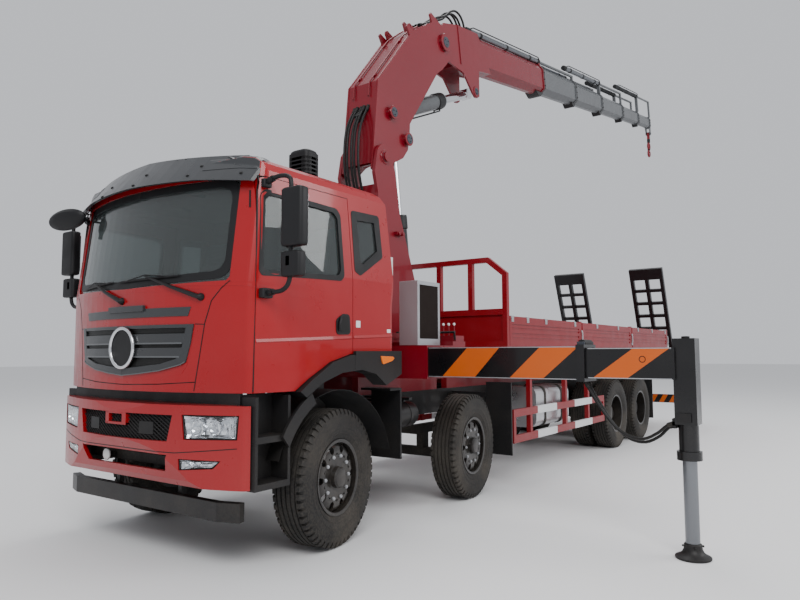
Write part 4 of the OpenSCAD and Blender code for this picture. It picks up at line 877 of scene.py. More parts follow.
# %% Panel seams
def seam(shape, points, width=0.006, lift=0.0012, way="front"):
    """A dark line on the cab's skin through (y, z) pairs, or (x, z) pairs on the flank."""
    line = []
    for p in walk([Vector((*q, 0)) for q in points], 0.05, closed=False):
        if way == "front":
            line.append(nose(p.x, p.y, lift))
        else:
            hit = skin("cab_shell", (p.x, 4, p.y), (0, -1, 0)) or skin("door_left", (p.x, 4, p.y), (0, -1, 0))
            line.append(hit + Vector((0, lift, 0)))
    one, two = [], []
    for i, p in enumerate(line):
        along = (line[min(i + 1, len(line) - 1)] - line[max(i - 1, 0)]).normalized()
        side = along.cross(Vector((1, 0, 0) if way == "front" else (0, 1, 0))).normalized() * width / 2
        one.append(p + side)
        two.append(p - side)
    shape.band(one, two, (-0.003, 0, 0) if way == "front" else (0, -0.003, 0), closed=False)


seams = Shape()
seam(seams, [(-0.74, 1.325), (-0.4, 1.305), (0, 1.295), (0.4, 1.305), (0.74, 1.325)])
seam(seams, [(0.80, 1.735), (0.725, 1.737)])
seam(seams, [(0.725, 1.262), (0.765, 1.50), (0.803, 1.74), (0.853, 1.90), (0.93, 1.99), (0.992, 2.04)], 0.008)
seam(seams, [(0.955, 2.098), (0.995, 2.098)], 0.005)
seams.mirrored().piece("front_seams", "cab", hose_black_and_shade)
print("front seams made")

# %% [markdown]
# ## Door gaps and crease
# The door's edge and the pressed line along the cab's flank are what the eye finds first. Both are
# laid on the skin by rays; modelling them in the panels would change the rigid frame.

# %% Door gaps and crease
def on_doors(shape, name, material, bevel=0.0):
    """The shape on the left door and its mirror image on the right door."""
    shape.piece(f"{name}_left", "door_left", material, bevel)
    other = Shape()
    other.add([(p.x, -p.y, p.z) for p in shape.points], [f[::-1] for f in shape.faces])
    other.piece(f"{name}_right", "door_right", material, bevel)


gaps = Shape()
edge = [(0.8885, 1.26), (0.8765, 2.08), (0.8405, 2.7975), (-0.1075, 2.8025), (-0.1075, 1.545)]
rim_points = walk([Vector((*q, 0)) for q in edge], 0.05, closed=False)
inner, outer = [], []
for p in rim_points:
    inside = Vector((p.x - 0.012 if p.x > 0.5 else p.x + 0.012 if p.x < -0.1 else p.x,
                     p.y - (0.012 if p.y > 2.79 else 0)))
    y = flank("door_left", min(max(inside.x, -0.09), 0.82 if p.y > 2.7 else 0.87),
              min(inside.y, 2.785)).y - 0.004
    push = Vector((0.0045 if p.x > 0.5 else -0.0045 if p.x < -0.1 else 0, 0, 0.0045 if p.y > 2.79 else 0))
    inner.append(Vector((p.x, y, p.y)) - push)
    outer.append(Vector((p.x, y, p.y)) + push)
gaps.band(inner, outer, (0, -0.010, 0), closed=False)
gaps.mirrored().piece("door_gaps", "cab", hose_black_and_shade)
crease_door, crease_cab = Shape(), Shape()
for shape, x0, x1 in ((crease_door, 0.872, -0.088), (crease_cab, -0.120, -0.655)):
    line = [flank("door_left" if shape is crease_door else "cab_shell", x, 1.604 + (0.872 - x) * 0.042)
            for x in steps(x0, x1, 24)]
    top = [p + Vector((0, 0.0005, 0.022)) for p in line]
    lip = [p + Vector((0, 0.0055, 0)) for p in line]
    low = [p + Vector((0, 0.0005, -0.006)) for p in line]
    n = len(line)
    faces = [(a + i, a + i + 1, b + i + 1, b + i) for i in range(n - 1)
             for a, b in ((0, n), (n, 2 * n), (2 * n, 0))]
    shape.add(top + lip + low, faces + [(0, n, 2 * n), (n - 1, 3 * n - 1, 2 * n - 1)])
on_doors(crease_door, "door_crease", cab_red)
crease_cab.mirrored().piece("cab_crease", "cab", cab_red)
print("door gaps and creases made")

# %% [markdown]
# ## Window seals
# Black borders hide the glued edges of the glass. They could be painted on the pane, but a real seal
# stands a little proud. So each is a ring between two outlines with the same number of points.

# %% Window seals
def ring_band(shape, outline, out, inn, place, push, radius=0.06, parts=6):
    """A ring between an outline made bigger by out and smaller by inn, set in space by place."""
    def sized(c):
        made = rounded(outline(c), radius + (0.5 * -c if c < 0 else -0.4 * c))
        return [p.lerp(made[(i + 1) % len(made)], k / parts)
                for i, p in enumerate(made) for k in range(parts)]
    shape.band([place(p) for p in sized(-out)], [place(p) for p in sized(inn)], push)


screen_lean, flank_lean = 7.2, 3.3  # degrees from upright


def screen_outline(c):
    """The windscreen's edge in (y, z), moved inwards by c."""
    return [(-0.985 + c, 2.058 + c), (0, 2.02 + c), (0.985 - c, 2.058 + c), (0.985 - c, 2.80 - c),
            (0, 2.80 - c), (-0.985 + c, 2.80 - c)]


def on_screen(p):
    """Lays (y, z) on the windscreen; past its edge the line goes on at the glass's own lean."""
    height = max(2.075, min(2.785, p.y))
    hit = front("cab_glass", max(-0.975, min(0.975, p.x)), height)
    return Vector((hit.x + 0.003 - math.tan(math.radians(screen_lean)) * (p.y - height), p.x, p.y))


border = Shape()
ring_band(border, screen_outline, -0.004, 0.060, on_screen, (-0.003, 0, 0), radius=0.13, parts=8)
border.piece("windscreen_border", "cab", plastic)


def window_outline(c):
    return [(0.815 - c, 2.095 + c), (0.838 - c, 2.13 + c), (0.812 - c, 2.655 - c), (0.78 - c, 2.69 - c),
            (0.06 + c, 2.675 - c), (0.015 + c, 2.63 - c), (0.015 + c, 2.165 + c), (0.05 + c, 2.118 + c)]


def quarter_outline(c):
    return [(-0.155 - c, 2.70 - c), (-0.515 + c, 2.712 - c), (-0.525 + c, 2.36 + 0.65 * c),
            (-0.215 - 0.55 * c, 2.18 + 1.35 * c), (-0.15 - c, 2.21 + 1.15 * c)]


def on_flank(node, middle):
    """Lays (x, z) on the flank, stepping outwards past the window's opening to meet the skin."""
    def place(p):
        for k in range(90):
            x, z = (m + (c - m) * (1 + 0.04 * k) for m, c in zip(middle, p))
            hit = skin(node, (x, 4, z), (0, -1, 0)) or skin("cab_shell", (x, 4, z), (0, -1, 0))
            if hit:
                return Vector((p.x, hit.y + math.tan(math.radians(flank_lean)) * (hit.z - p.y) + 0.003, p.y))
    return place


door_seal, quarter_seal = Shape(), Shape()
into_door, into_cab = on_flank("door_left", (0.42, 2.39)), on_flank("cab_shell", (-0.335, 2.45))
ring_band(door_seal, window_outline, 0.018, 0.022, into_door, (0, -0.016, 0), 0.05, 4)
ring_band(quarter_seal, quarter_outline, 0.012, 0.062, into_cab, (0, -0.016, 0), 0.03, 4)
on_doors(door_seal, "door_window_seal", plastic)
quarter_seal.mirrored().piece("quarter_window_seal", "cab", plastic)
print("window seals made")

# %% [markdown]
# ## Wipers
# Two wipers rest low on the glass. Each is a tapered arm bent once and a thin blade that follows
# the windscreen. Tubes with a radius for each point give both without any modifier.

# %% Wipers
wipers = Shape()
for pivot, tip, blade in (((-0.04, 1.93), (-0.50, 2.098), ((-0.80, 2.066), (-0.19, 2.088))),
                          ((0.77, 1.93), (0.235, 2.108), ((-0.11, 2.080), (0.57, 2.094)))):
    base = nose(*pivot)
    top = on_screen(Vector(tip)) + Vector((0.028, 0, 0))
    wipers.turned([(0.028, 0), (0.028, 0.02), (0.02, 0.035), (0.012, 0.05)],
                  base - Vector((0.010, 0, 0)), (1, 0, 0), 20)
    elbow = base + (top - base) * 0.45 + Vector((0.034, 0, 0))
    wipers.tube([base + Vector((0.022, 0, 0)), base + (top - base) * 0.1 + Vector((0.024, 0, 0)), elbow, top],
                [0.019, 0.018, 0.013, 0.007], 8)
    ends = [on_screen(Vector(b)) + Vector((0.012, 0, 0)) for b in blade]
    middle = on_screen(Vector(tip)) + Vector((0.012, 0, 0))
    run = [ends[0].lerp(ends[1], k / 10) for k in range(11)]
    run = [Vector((on_screen(Vector((p.y, p.z))).x + 0.012, p.y, p.z)) for p in run]
    wipers.tube(run, [0.004] + [0.009] * 9 + [0.004], 6)
    wipers.tube([run[2] + Vector((0.006, 0, 0.004)), middle + Vector((0.016, 0, 0.006)),
                 run[8] + Vector((0.006, 0, 0.004))], 0.005, 6)
wipers.piece("wipers", "cab", plastic)
slot = Shape()
slot.tube([front("cab_shell", y, z) + Vector((0.001, 0.001, 0))
           for y, z in zip(steps(1.075, 1.062, 6), steps(2.57, 2.695, 6))], 0.007, 8)
slot.mirrored().piece("pillar_slot", "cab", hose_black_and_shade)
print("wipers made")

# %% [markdown]
# ## Lamps
# The plain lamp blocks are replaced by real bowls: a faceted chrome back, round reflectors and a
# clear cover. A bump texture could fake the facets, but only real ones throw back the room in
# separate pieces.

# %% Lamps
random.seed(8)
lamp_quads = {"head": [(0.696, 0.931), (1.094, 0.941), (1.106, 1.094), (0.678, 1.092)],
              "fog": [(0.660, 0.718), (0.924, 0.741), (0.976, 0.785), (0.654, 0.785)]}


def in_quad(quad, u, v):
    """A place inside four corners, u along and v up, both from 0 to 1."""
    a, b, c, d = (Vector(q) for q in quad)
    return a.lerp(b, u).lerp(d.lerp(c, u), v)


def lamp_face(y, z, lift):
    """The front of the lamp, or of the bumper beside it, seen from ahead."""
    hit = skin("front_lamps", (3, y, z), (-1, 0, 0)) or skin("bumper", (3, y, z), (-1, 0, 0))
    return Vector((hit.x + lift, y, z))


def grid_edge(n, m):
    """The numbers of the points round the edge of a grid of n rows and m columns."""
    return [*range(m), *range(2 * m - 1, n * m, m), *range(n * m - 2, n * m - m - 1, -1),
            *range((n - 2) * m, 0, -m)]


def sheet_grid(shape, rows, push):
    """A curved sheet through rows of points, made solid by pushing its back away."""
    n, m = len(rows), len(rows[0])
    front_points = [p for row in rows for p in row]
    back = [p + Vector(push) for p in front_points]
    faces = [(i * m + k, i * m + k + 1, (i + 1) * m + k + 1, (i + 1) * m + k)
             for i in range(n - 1) for k in range(m - 1)]
    loop = grid_edge(n, m)
    sides = [(a, loop[(j + 1) % len(loop)], loop[(j + 1) % len(loop)] + n * m, a + n * m)
             for j, a in enumerate(loop)]
    shape.add(front_points + back, faces + [tuple(n * m + i for i in f)[::-1] for f in faces] + sides)


bowls, covers, rims, bulbs = Shape(), Shape(), Shape(), Shape()
for name, quad in lamp_quads.items():
    columns, lines = (15, 6) if name == "head" else (11, 4)
    rows = []
    for i in range(lines + 1):
        row = []
        for k in range(columns + 1):
            p = in_quad(quad, k / columns, i / lines)
            edge = i in (0, lines) or k in (0, columns)
            row.append(lamp_face(p.x, p.y, -0.006 if edge else -0.034 + random.uniform(-0.010, 0.010)))
        rows.append(row)
    sheet_grid(bowls, rows, (-0.022, 0, 0))
    sheet_grid(covers, [[lamp_face(*in_quad(quad, k / 8, i / 3), -0.001) for k in range(9)]
                        for i in range(4)], (-0.003, 0, 0))
    rim_line = ([(k / 10, 0) for k in range(10)] + [(1, k / 3) for k in range(3)]
                + [(1 - k / 10, 1) for k in range(10)] + [(0, 1 - k / 3) for k in range(3)])
    outline = [in_quad(quad, u, v) for u, v in rim_line]
    centre = in_quad(quad, 0.5, 0.5)
    rims.band([lamp_face(p.x, p.y, 0.0) for p in outline],
              [lamp_face(*(p + (centre - p).normalized() * 0.009), 0.0) for p in outline], (-0.03, 0, 0))
for y, z, r in ((0.790, 1.012, 0.064), (0.925, 1.016, 0.058), (0.745, 0.752, 0.026)):
    base = lamp_face(y, z, -0.040)
    bulbs.turned([(r, 0.028), (r - 0.004, 0.030), (r * 0.8, 0.014), (r * 0.5, 0.004), (r * 0.3, 0.0),
                  (0.0, 0.0), (0.0, -0.006), (r * 0.5, -0.004), (r * 0.9, 0.01)], base,
                 (1, 0, 0), 40, closed=True)
    bulbs.turned([(0.0, 0.0), (r * 0.22, 0.002), (r * 0.2, 0.016), (0.0, 0.022)], base, (1, 0, 0), 24)
for k in range(5):
    bulbs.tube([lamp_face(1.036 + 0.013 * k, z, -0.018) for z in steps(0.955, 1.080, 6)], 0.0045, 8)
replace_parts(bowls.mirrored().piece("lamp_bowls", "chassis", reflector, angle=12), "front_lamps")
covers.mirrored().piece("lamp_covers", "chassis", lens)
rims.mirrored().piece("lamp_rims", "chassis", hose_black_and_shade)
bulbs.mirrored().piece("lamp_reflectors", "chassis", reflector)
print("lamps made:", ", ".join(lamp_quads))

# %% [markdown]
# ## Bumper mesh
# Two sets of slanting bars cross behind the upper opening. A see-through texture would be lighter,
# but from the side only real bars have depth. The towing eye's lid stands in the middle, and the
# towing disc is seen in the lower opening.

# %% Bumper mesh
def bumper_x(y):
    """How far forward the bumper stands at this width."""
    return front("bumper", y, 1.105).x


def bumper_band(shape, y0, y1, z0, z1, lift, thick, count):
    """An upright band that follows the bumper's bow, lift ahead of its skin."""
    shape.band(*([Vector((bumper_x(y) + lift, y, z)) for y in steps(y0, y1, count)] for z in (z0, z1)),
               (-thick, 0, 0), closed=False)


mesh_bars, plates, lid = Shape(), Shape(), Shape()
low, high, run = 0.902, 1.096, 0.30
y = -0.62 - run
while y < 0.62:
    for way in (1, -1):
        line = []
        for t in steps(0, 1, 5):
            p = y + (run * t if way > 0 else run * (1 - t))
            if abs(p) < 0.60:
                line.append(Vector((bumper_x(p) - 0.030 - 0.004 * way, p, low + (high - low) * t)))
        if len(line) > 1:
            mesh_bars.tube(line, 0.0042, 5)
    y += 0.044
mesh_bars.piece("bumper_mesh", "chassis", plastic)
for y0, y1 in ((-0.435, -0.29), (0.24, 0.39)):
    bumper_band(plates, y0, y1, 0.945, 1.035, -0.020, 0.02, 6)
plates.piece("mesh_plates", "chassis", plastic)
back = Shape()
bumper_band(back, -0.62, 0.62, 0.86, 1.13, -0.075, 0.004, 20)
back.piece("mesh_backing", "chassis", hose_black_and_shade)
for y0, y1, z0, z1 in ((-0.158, 0.112, 1.080, 1.097), (-0.158, 0.112, 1.000, 1.018),
                       (-0.158, -0.108, 1.0, 1.097), (0.062, 0.112, 1.0, 1.097)):
    bumper_band(lid, y0, y1, z0, z1, 0.0, 0.038, 7)
lid.piece("tow_lid_frame", "chassis", cab_red, 0.003)
disc, hold = Shape(), Shape()
disc.turned([(0.0, 0.012), (0.030, 0.012), (0.044, 0.006), (0.046, -0.004), (0.040, -0.012), (0.0, -0.012)],
            (1.075, -0.315, 0.738), (1, 0, 0), 40)
disc.piece("tow_disc", "chassis", label_white)
hold.tube([(0.95, -0.315, 0.738), (1.07, -0.315, 0.738)], 0.022, 16)
hold.box((0.93, -0.66, 0.700), (1.01, 0.60, 0.775))
hold.piece("tow_bar", "chassis", iron, 0.004)
seam_line = Shape()
points = [Vector((front("bumper", y, z).x + 0.0012, y, z)) for y, z in
          [(y, 0.830 + max(0, abs(y) - 0.62) * 0.10) for y in steps(-1.10, 1.10, 60)]]
seam_line.band([p - Vector((0, 0, 0.003)) for p in points], [p + Vector((0, 0, 0.003)) for p in points],
               (-0.003, 0, 0), closed=False)
seam_line.piece("bumper_seam", "chassis", hose_black_and_shade)
print("bumper mesh made")

# %% [markdown]
# ## Mirrors
# The mirrors stand on one bent tube clamped at the top and bottom of each door. Each head could be
# sculpted, but a stack of rounded outlines gives its soft edges at once. One side is made and then
# turned over for the other.

# %% Mirrors
def soft_box(shape, low, high, radius, count=6):
    """A box whose four long upright edges are rounded, as a turned-over outline pushed upwards."""
    corners = [(low[0], low[1]), (high[0], low[1]), (high[0], high[1]), (low[0], high[1])]
    outline = rounded(corners, radius, count)
    middle = ((low[0] + high[0]) / 2, (low[1] + high[1]) / 2)
    rows = [(low[2] + radius * 0.6 * t, s) for t, s in ((0.0, 0.80), (0.25, 0.93), (0.55, 0.985), (1.0, 1.0))]
    rows += [(high[2] - (z - low[2]), s) for z, s in rows[::-1]]
    shape.loft([[(middle[0] + (x - middle[0]) * s, middle[1] + (y - middle[1]) * s, z) for x, y in outline]
                for z, s in rows])


mirror_frame, mirror_glass = Shape(), Shape()
top_y, low_y = flank("door_left", 0.80, 2.74).y, flank("door_left", 0.83, 1.955).y
bend, _ = spline([(0.80, top_y - 0.004, 2.745), (0.80, top_y + 0.10, 2.775), (0.802, 1.34, 2.775),
                  (0.806, 1.40, 2.750), (0.808, 1.42, 2.68), (0.808, 1.42, 2.30), (0.810, 1.42, 2.10),
                  (0.812, 1.405, 2.01), (0.814, 1.36, 1.968), (0.816, 1.30, 1.955),
                  (0.818, low_y - 0.004, 1.955)], 60)
mirror_frame.tube(bend, 0.0165, 12)
for z in (2.50, 2.16):
    soft_box(mirror_frame, (0.775, 1.383, z - 0.045), (0.842, 1.457, z + 0.045), 0.02)
soft_box(mirror_frame, (0.765, low_y - 0.004, 1.915), (0.865, low_y + 0.055, 1.985), 0.02)
soft_box(mirror_frame, (0.762, top_y - 0.004, 2.715), (0.84, top_y + 0.04, 2.775), 0.015)
mirror_frame.tube([(0.815, low_y + 0.01, 1.95), (0.815, low_y + 0.10, 1.955)], 0.024, 14)
mirror_frame.tube([(0.80, top_y + 0.01, 2.752), (0.80, top_y + 0.09, 2.772)], 0.024, 14)
soft_box(mirror_frame, (0.762, 1.352, 2.262), (0.852, 1.555, 2.672), 0.035)
soft_box(mirror_frame, (0.762, 1.345, 2.052), (0.842, 1.530, 2.228), 0.030)
for y0, y1, z0, z1, r in ((1.372, 1.535, 2.285, 2.65, 0.025), (1.362, 1.512, 2.072, 2.210, 0.02)):
    mirror_glass.plate(rounded([(y0, z0), (y1, z0), (y1, z1), (y0, z1)], r), "x", 0.7585, 0.764)
for side, flip in (("left", 1), ("right", -1)):
    turned_over = Shape()
    turned_over.add([(p.x, p.y * flip, p.z) for p in mirror_frame.points], mirror_frame.faces)
    made = turned_over.piece(f"mirror_frame_{side}", f"door_{side}", plastic)
    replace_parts(made, f"mirror_{side}")
on_doors(mirror_glass, "mirror_glass", chrome)
# the oval kerb mirror hangs from the visor's far corner on a thin bent rod
oval = Shape()
oval.turned([(0.0, -0.055), (0.06, -0.052), (0.105, -0.036), (0.122, -0.012), (0.124, 0.0),
             (0.110, 0.006), (0.0, 0.008)])
head_place = (Matrix.Translation(at(1.028, -1.12, 2.715)) @ Matrix.Rotation(math.radians(-62), 4, "Y")
              @ Matrix.Rotation(math.radians(14), 4, "X") @ Matrix.Diagonal((0.75, 1.75, 1.0, 1.0)))
oval.piece("kerb_mirror_head", "cab", plastic, move=lambda p: head_place @ p)
rod_low = front("cab_shell", -1.04, 2.70)
stem, _ = spline([(rod_low.x - 0.01, rod_low.y, 2.70), (rod_low.x + 0.03, rod_low.y - 0.01, 2.725),
                  (1.055, -1.08, 2.745), (1.048, -1.105, 2.730), (1.042, -1.115, 2.720)], 24)
bracket = Shape()
bracket.tube(stem, 0.010, 10)
bracket.turned([(0.024, 0.0), (0.024, 0.02), (0.014, 0.03)],
               (rod_low.x - 0.004, rod_low.y, 2.70), (1, -0.2, 0.1), 16)
bracket.piece("kerb_mirror_rod", "cab", plastic)
print("mirrors made")

# %% [markdown]
# ## Door handles and small parts
# Handles, side lamps, screws and blank labels are small, yet a cab without them looks like a toy.
# Rounded plates and turned parts are enough at their size; none carries any lettering.

# %% Door handles and small parts
handles, recess_shade = Shape(), Shape()
outline = rounded([(0.098, 1.672), (0.100, 1.790), (0.02, 1.838), (-0.062, 1.838), (-0.076, 1.676)], 0.035)
handles.plate(outline, "y", 1.214, 1.2265)
# the recess round the grip is not hollowed out: a darker flat plate on the bezel's face is its painted shade
inside = rounded([(0.050, 1.694), (0.052, 1.782), (0.01, 1.815), (-0.040, 1.815), (-0.052, 1.696)], 0.022)
recess_shade.plate(inside, "y", 1.226, 1.2285)
bar, _ = spline([(0.072, 1.224, 1.700), (0.072, 1.236, 1.715), (0.072, 1.238, 1.755), (0.058, 1.236, 1.795),
                 (0.050, 1.224, 1.812)], 20)
handles.tube(bar, 0.010, 10)
on_doors(handles, "door_handle", plastic, 0.002)
on_doors(recess_shade, "handle_recess_shade", hose_black_and_shade)

lamps, flare_seam, screws, labels = Shape(), Shape(), Shape(), Shape()
flare_y = skin("wheel_arches", (-0.50, 4, 1.47), (0, -1, 0)).y
lamps.plate([(-0.441, 1.500), (-0.612, 1.494), (-0.632, 1.478), (-0.600, 1.456), (-0.478, 1.430),
             (-0.462, 1.440)], "y", flare_y - 0.002, flare_y + 0.010)
lamps.mirrored().piece("side_lamps", "cab", amber, 0.003)
edge = [skin("wheel_arches", (-0.106, 4, z), (0, -1, 0)) for z in steps(1.392, 1.538, 10)]
edge = [p for p in edge if p]
flare_seam.band([p + Vector((-0.003, 0.001, 0)) for p in edge], [p + Vector((0.003, 0.001, 0)) for p in edge],
                (0, -0.003, 0), closed=False)
flare_seam.mirrored().piece("flare_seam", "cab", hose_black_and_shade)
for y, z in ((-0.40, 2.80), (0.05, 2.825), (0.60, 2.835), (-0.35, 2.88), (0.12, 2.91),
             (0.66, 2.915), (1.02, 2.82)):
    base = skin("sun_visor", (3, y, z), (-1, 0, 0))
    if base:
        screws.turned([(0.0, -0.01), (0.013, -0.008), (0.013, 0.004), (0.009, 0.008), (0.0, 0.009)],
                      base, (0.62, 0, 0.78), 16)
screws.piece("visor_screws", "cab", hose_black_and_shade)
labels.plate([(-0.150, 1.735), (-0.205, 1.735), (-0.205, 1.790), (-0.150, 1.790)], "y", 1.2195, 1.2212)
labels.plate([(-0.575, 1.700), (-0.625, 1.700), (-0.625, 1.730), (-0.575, 1.730)], "y", 1.2195, 1.2212)
labels.piece("blank_labels", "cab", label_white)
print("handles and small parts made")

# %% [markdown]
# ## Roof intake and visor
# The air intake is a ribbed box behind the cab's roof line, and the visor is a thin shell over the
# glass. A shrinkwrap modifier could lay it on the roof but would lose its rounded ends, so its grids
# are found by rays and lifted a little.

# %% Roof intake and visor
roof_box, roof_ribs = Shape(), Shape()
soft_box(roof_box, (-0.62, 0.13, 3.06), (-0.44, 0.38, 3.47), 0.07)
roof_box.tube([(-0.53, 0.255, 2.955), (-0.53, 0.255, 3.10)], 0.07, 24)
for z in steps(3.12, 3.40, 8):
    soft_box(roof_ribs, (-0.628, 0.122, z - 0.009), (-0.432, 0.388, z + 0.009), 0.07)
roof_box.piece("roof_intake", "cab", plastic)
roof_ribs.piece("roof_intake_ribs", "cab", plastic)
cap, lines = Shape(), []
for y in steps(-0.975, 0.975, 45):
    tops = [skin("sun_visor", (x, y, 4), (0, 0, -1)) for x in steps(0.86, 1.14, 57)]
    top = max((t for t in tops if t), key=lambda t: t.z)
    roof = skin("cab_shell", (top.x - 0.20, y, 4), (0, 0, -1))
    line = [top + Vector((0.012, 0, -0.006)), top + Vector((-0.004, 0, 0.003))]
    for t in steps(0.12, 1, 8):
        middle = top.lerp(roof, t)
        below = skin("cab_shell", (middle.x, y, 4), (0, 0, -1))
        middle.z = max(middle.z + 0.012 * (1 - t) + 0.004, (below.z if below else 0) + 0.005)
        if below and middle.z - below.z < 0.2:
            middle.z += (below.z + 0.004 - middle.z) * min(1, max(0, (abs(y) - 0.78) / 0.19))
        line.append(middle)
    lines.append(line)
sheet_grid(cap, [list(row) for row in zip(*lines)], (0, 0, -0.005))
cap.piece("visor_cap", "cab", visor_grey)


def brow(y, t):
    """A point just ahead of visor and roof corner: t runs from 0 low on the visor to 1 at the roof's edge."""
    tops = [skin("cab_shell", (x, y, 4), (0, 0, -1)) for x in steps(0.78, 1.06, 15)]
    top = max(p.z for p in tops if p) - 0.006
    low = 2.868 - 0.10 * max(0, y - 0.98)
    z = low + (top - low) * t
    hits = [skin(node, (3, y, z), (-1, 0, 0)) for node in ("sun_visor", "cab_shell")]
    return max((h for h in hits if h), key=lambda h: h.x) + Vector((0.004, 0, 0))


# the visor's rounded ends wrap the roof's front corners
visor_end = Shape()
lines = [[brow(y, t) for t in steps(0, 1, 12)] for y in steps(0.70, 1.112, 32)]
over_roof = (Vector((-0.03, 0, 0.018)), Vector((-0.10, 0, 0.022)))
lines = [line + [line[-1] + step for step in over_roof] for line in lines]
sheet_grid(visor_end, [list(row) for row in zip(*lines)], (-0.004, 0, -0.002))
visor_end.mirrored().piece("visor_ends", "cab", visor_grey)
print("roof intake and visor made")

# %% [markdown]
# ## Arch liners and air tanks
# Behind the front wheels the arch shows a black liner, and two air tanks lie along the frame.
# A liner is one bent sheet and a tank is a rolled one with pressed ends, so bands along arcs and
# turned cylinders follow how they are made.

# %% Arch liners and air tanks
gap_cover, liner = Shape(), Shape()
gap_cover.box((0.90, -1.06, 1.12), (0.925, 1.06, 1.246))
gap_cover.piece("front_cross_cover", "chassis", black)
hub_height, arch_r, flare_r = 0.5425, 0.690, 0.785
liner_y, leg_y = 1.17, 1.236  # how far out the liner and the flare's face stand


def arch(r, low, high, count):
    """Places (x, z) on an arc round the front wheel's hub, between two angles in degrees."""
    angles = steps(math.radians(low), math.radians(high), count)
    return [(r * math.cos(a), hub_height + r * math.sin(a)) for a in angles]


def stood(line, y):
    """Points (x, z) put at one width."""
    return [Vector((x, y, z)) for x, z in line]


arc = arch(arch_r, 18, 168, 24)
liner.band(stood(arc, 0.62), stood(arc, liner_y), (0, 0, 0.004), closed=False)
liner.mirrored().piece("arch_liners", "chassis", plastic)
leg, tanks = Shape(), Shape()
inner, outer = arch(arch_r, 27, 61, 10), arch(flare_r, 30, 61, 10)
leg.band(stood(inner, leg_y), stood(outer, leg_y), (0, -0.026, 0), closed=False)
leg.band(stood(inner, leg_y), stood(inner, liner_y), (0, 0, 0.006), closed=False)
leg.mirrored().piece("flare_legs", "chassis", plastic, 0.004)
tank_x, tank_z, tank_r = -1.13, 0.93, 0.122
end_half = [(0.001, 0.30), (0.07, 0.295), (0.115, 0.27), (tank_r, 0.24)]
for y in (0.58, 0.88):
    tanks.turned([(r, -t) for r, t in end_half] + end_half[::-1], (tank_x, y, tank_z), (1, 0, 0), 40)
    for x in (-1.28, -0.98):
        tanks.turned([(tank_r, -0.02), (0.127, -0.02), (0.127, 0.02), (tank_r, 0.02)], (x, y, tank_z),
                     (1, 0, 0), 40, closed=True)
        tanks.box((x - 0.02, y - 0.03, 1.04), (x + 0.02, y + 0.03, 1.085))
for x in (-1.28, -0.98):
    tanks.box((x - 0.025, 0.40, 1.07), (x + 0.025, 0.98, 1.095))
tanks.mirrored().piece("air_tanks", "chassis", black, 0.002)
print("arch liners and air tanks made")

# %% [markdown]
# ## The crane's axes and pins
# The main boom and the outer boom each have their own slanting axis, so their parts are measured
# along that axis and across it. Pins end in slate caps inside red rings, every telescopic box
# carries a black collar with a wear block under it, and each cylinder has a dark gland.

# %% Boom axes and pins
def boom_axes(x, z, angle):
    """Turns (along, across, above) a boom that rises backwards from (x, z) into a place."""
    c, s = math.cos(math.radians(angle)), math.sin(math.radians(angle))
    return lambda u, y, v: Vector((x - u * c + v * s, y, z + u * s + v * c))


in_main = boom_axes(-1.830, 3.725, 53.84)  # from the column's pin
in_outer = boom_axes(-3.20008, 5.59972, 10.0)  # from the elbow's pin


def solid(shape, frame_of, low, high, taper=0.0):
    """A box along a boom: low and high are (u, y, v); taper shortens its lower face."""
    (a, b, c), (d, e, f) = low, high
    points = [frame_of(u + (taper if v == c else 0) * (1 if u == a else -1), y, v) for u in (a, d)
              for y in (b, e) for v in (c, f)]
    shape.add(points, [(0, 1, 3, 2), (4, 6, 7, 5), (0, 4, 5, 1), (2, 3, 7, 6), (0, 2, 6, 4), (1, 5, 7, 3)])


def pin_cap(rings, caps, node, frame_of, u, v, r, ring_r):
    """Both ends of a pin: a ring on the plate, a cap inside it and three screws."""
    for s in (1, -1):
        spot = frame_of(u, 0, v)
        hit = skin(node, (spot.x + r * 0.5, 4 * s, spot.z + r * 0.4), (0, -s, 0))
        centre = Vector((spot.x, hit.y, spot.z))
        rings.turned([(r, -0.004), (r, 0.010), (ring_r - 0.006, 0.010), (ring_r, 0.004), (ring_r, -0.004)],
                     centre, (0, s, 0), 48, closed=True)
        caps.turned([(0.002, -0.002), (r + 0.001, -0.002), (r + 0.001, 0.012), (r - 0.006, 0.017),
                     (0.002, 0.017)], centre, (0, s, 0), 48)
        for k in range(3):
            a = 2 * math.pi * k / 3 + 0.5
            caps.turned([(0.0085, 0.016), (0.0085, 0.024), (0.006, 0.026), (0.001, 0.026)],
                        centre + Vector((math.cos(a) * r * 0.55, 0, math.sin(a) * r * 0.55)), (0, s, 0), 6)


main_rings, main_caps = Shape(), Shape()
for u, v, r, ring_r in ((0.557, -0.194, 0.056, 0.080), (0.572, 0.192, 0.056, 0.080),
                        (2.322, 0.0, 0.070, 0.115)):
    pin_cap(main_rings, main_caps, "main_boom", in_main, u, v, r, ring_r)
main_rings.piece("main_boom_pin_rings", "main_boom", crane_red)
main_caps.piece("main_boom_pin_caps", "main_boom", slate)
pivot_rings, pivot_caps = Shape(), Shape()
pin_cap(pivot_rings, pivot_caps, "column", in_main, 0.0, 0.085, 0.056, 0.082)
pivot_caps.points = [p + in_main(0, 0, 0) - in_main(0, 0, 0.085) for p in pivot_caps.points]
pivot_rings.points = [p + in_main(0, 0, 0) - in_main(0, 0, 0.085) for p in pivot_rings.points]
pivot_rings.piece("column_pin_rings", "column", crane_red)
pivot_caps.piece("column_pin_caps", "column", slate)
eye_rings, eye_caps = Shape(), Shape()
pin_cap(eye_rings, eye_caps, "outer_boom", in_outer, 0.870, -0.504, 0.050, 0.078)
eye_rings.piece("fold_eye_rings", "outer_boom", crane_red)
eye_caps.piece("fold_eye_caps", "outer_boom", slate)
print("pins capped")

# %% [markdown]
# ## Welds, lugs and pipes of the main boom
# The boom is a box of welded plates, so a bead runs along its upper edges. Lugs for lifting and
# two steel pipes lie on its back. A bead as a thin tube catches the light as a real weld does,
# which a painted line would not.

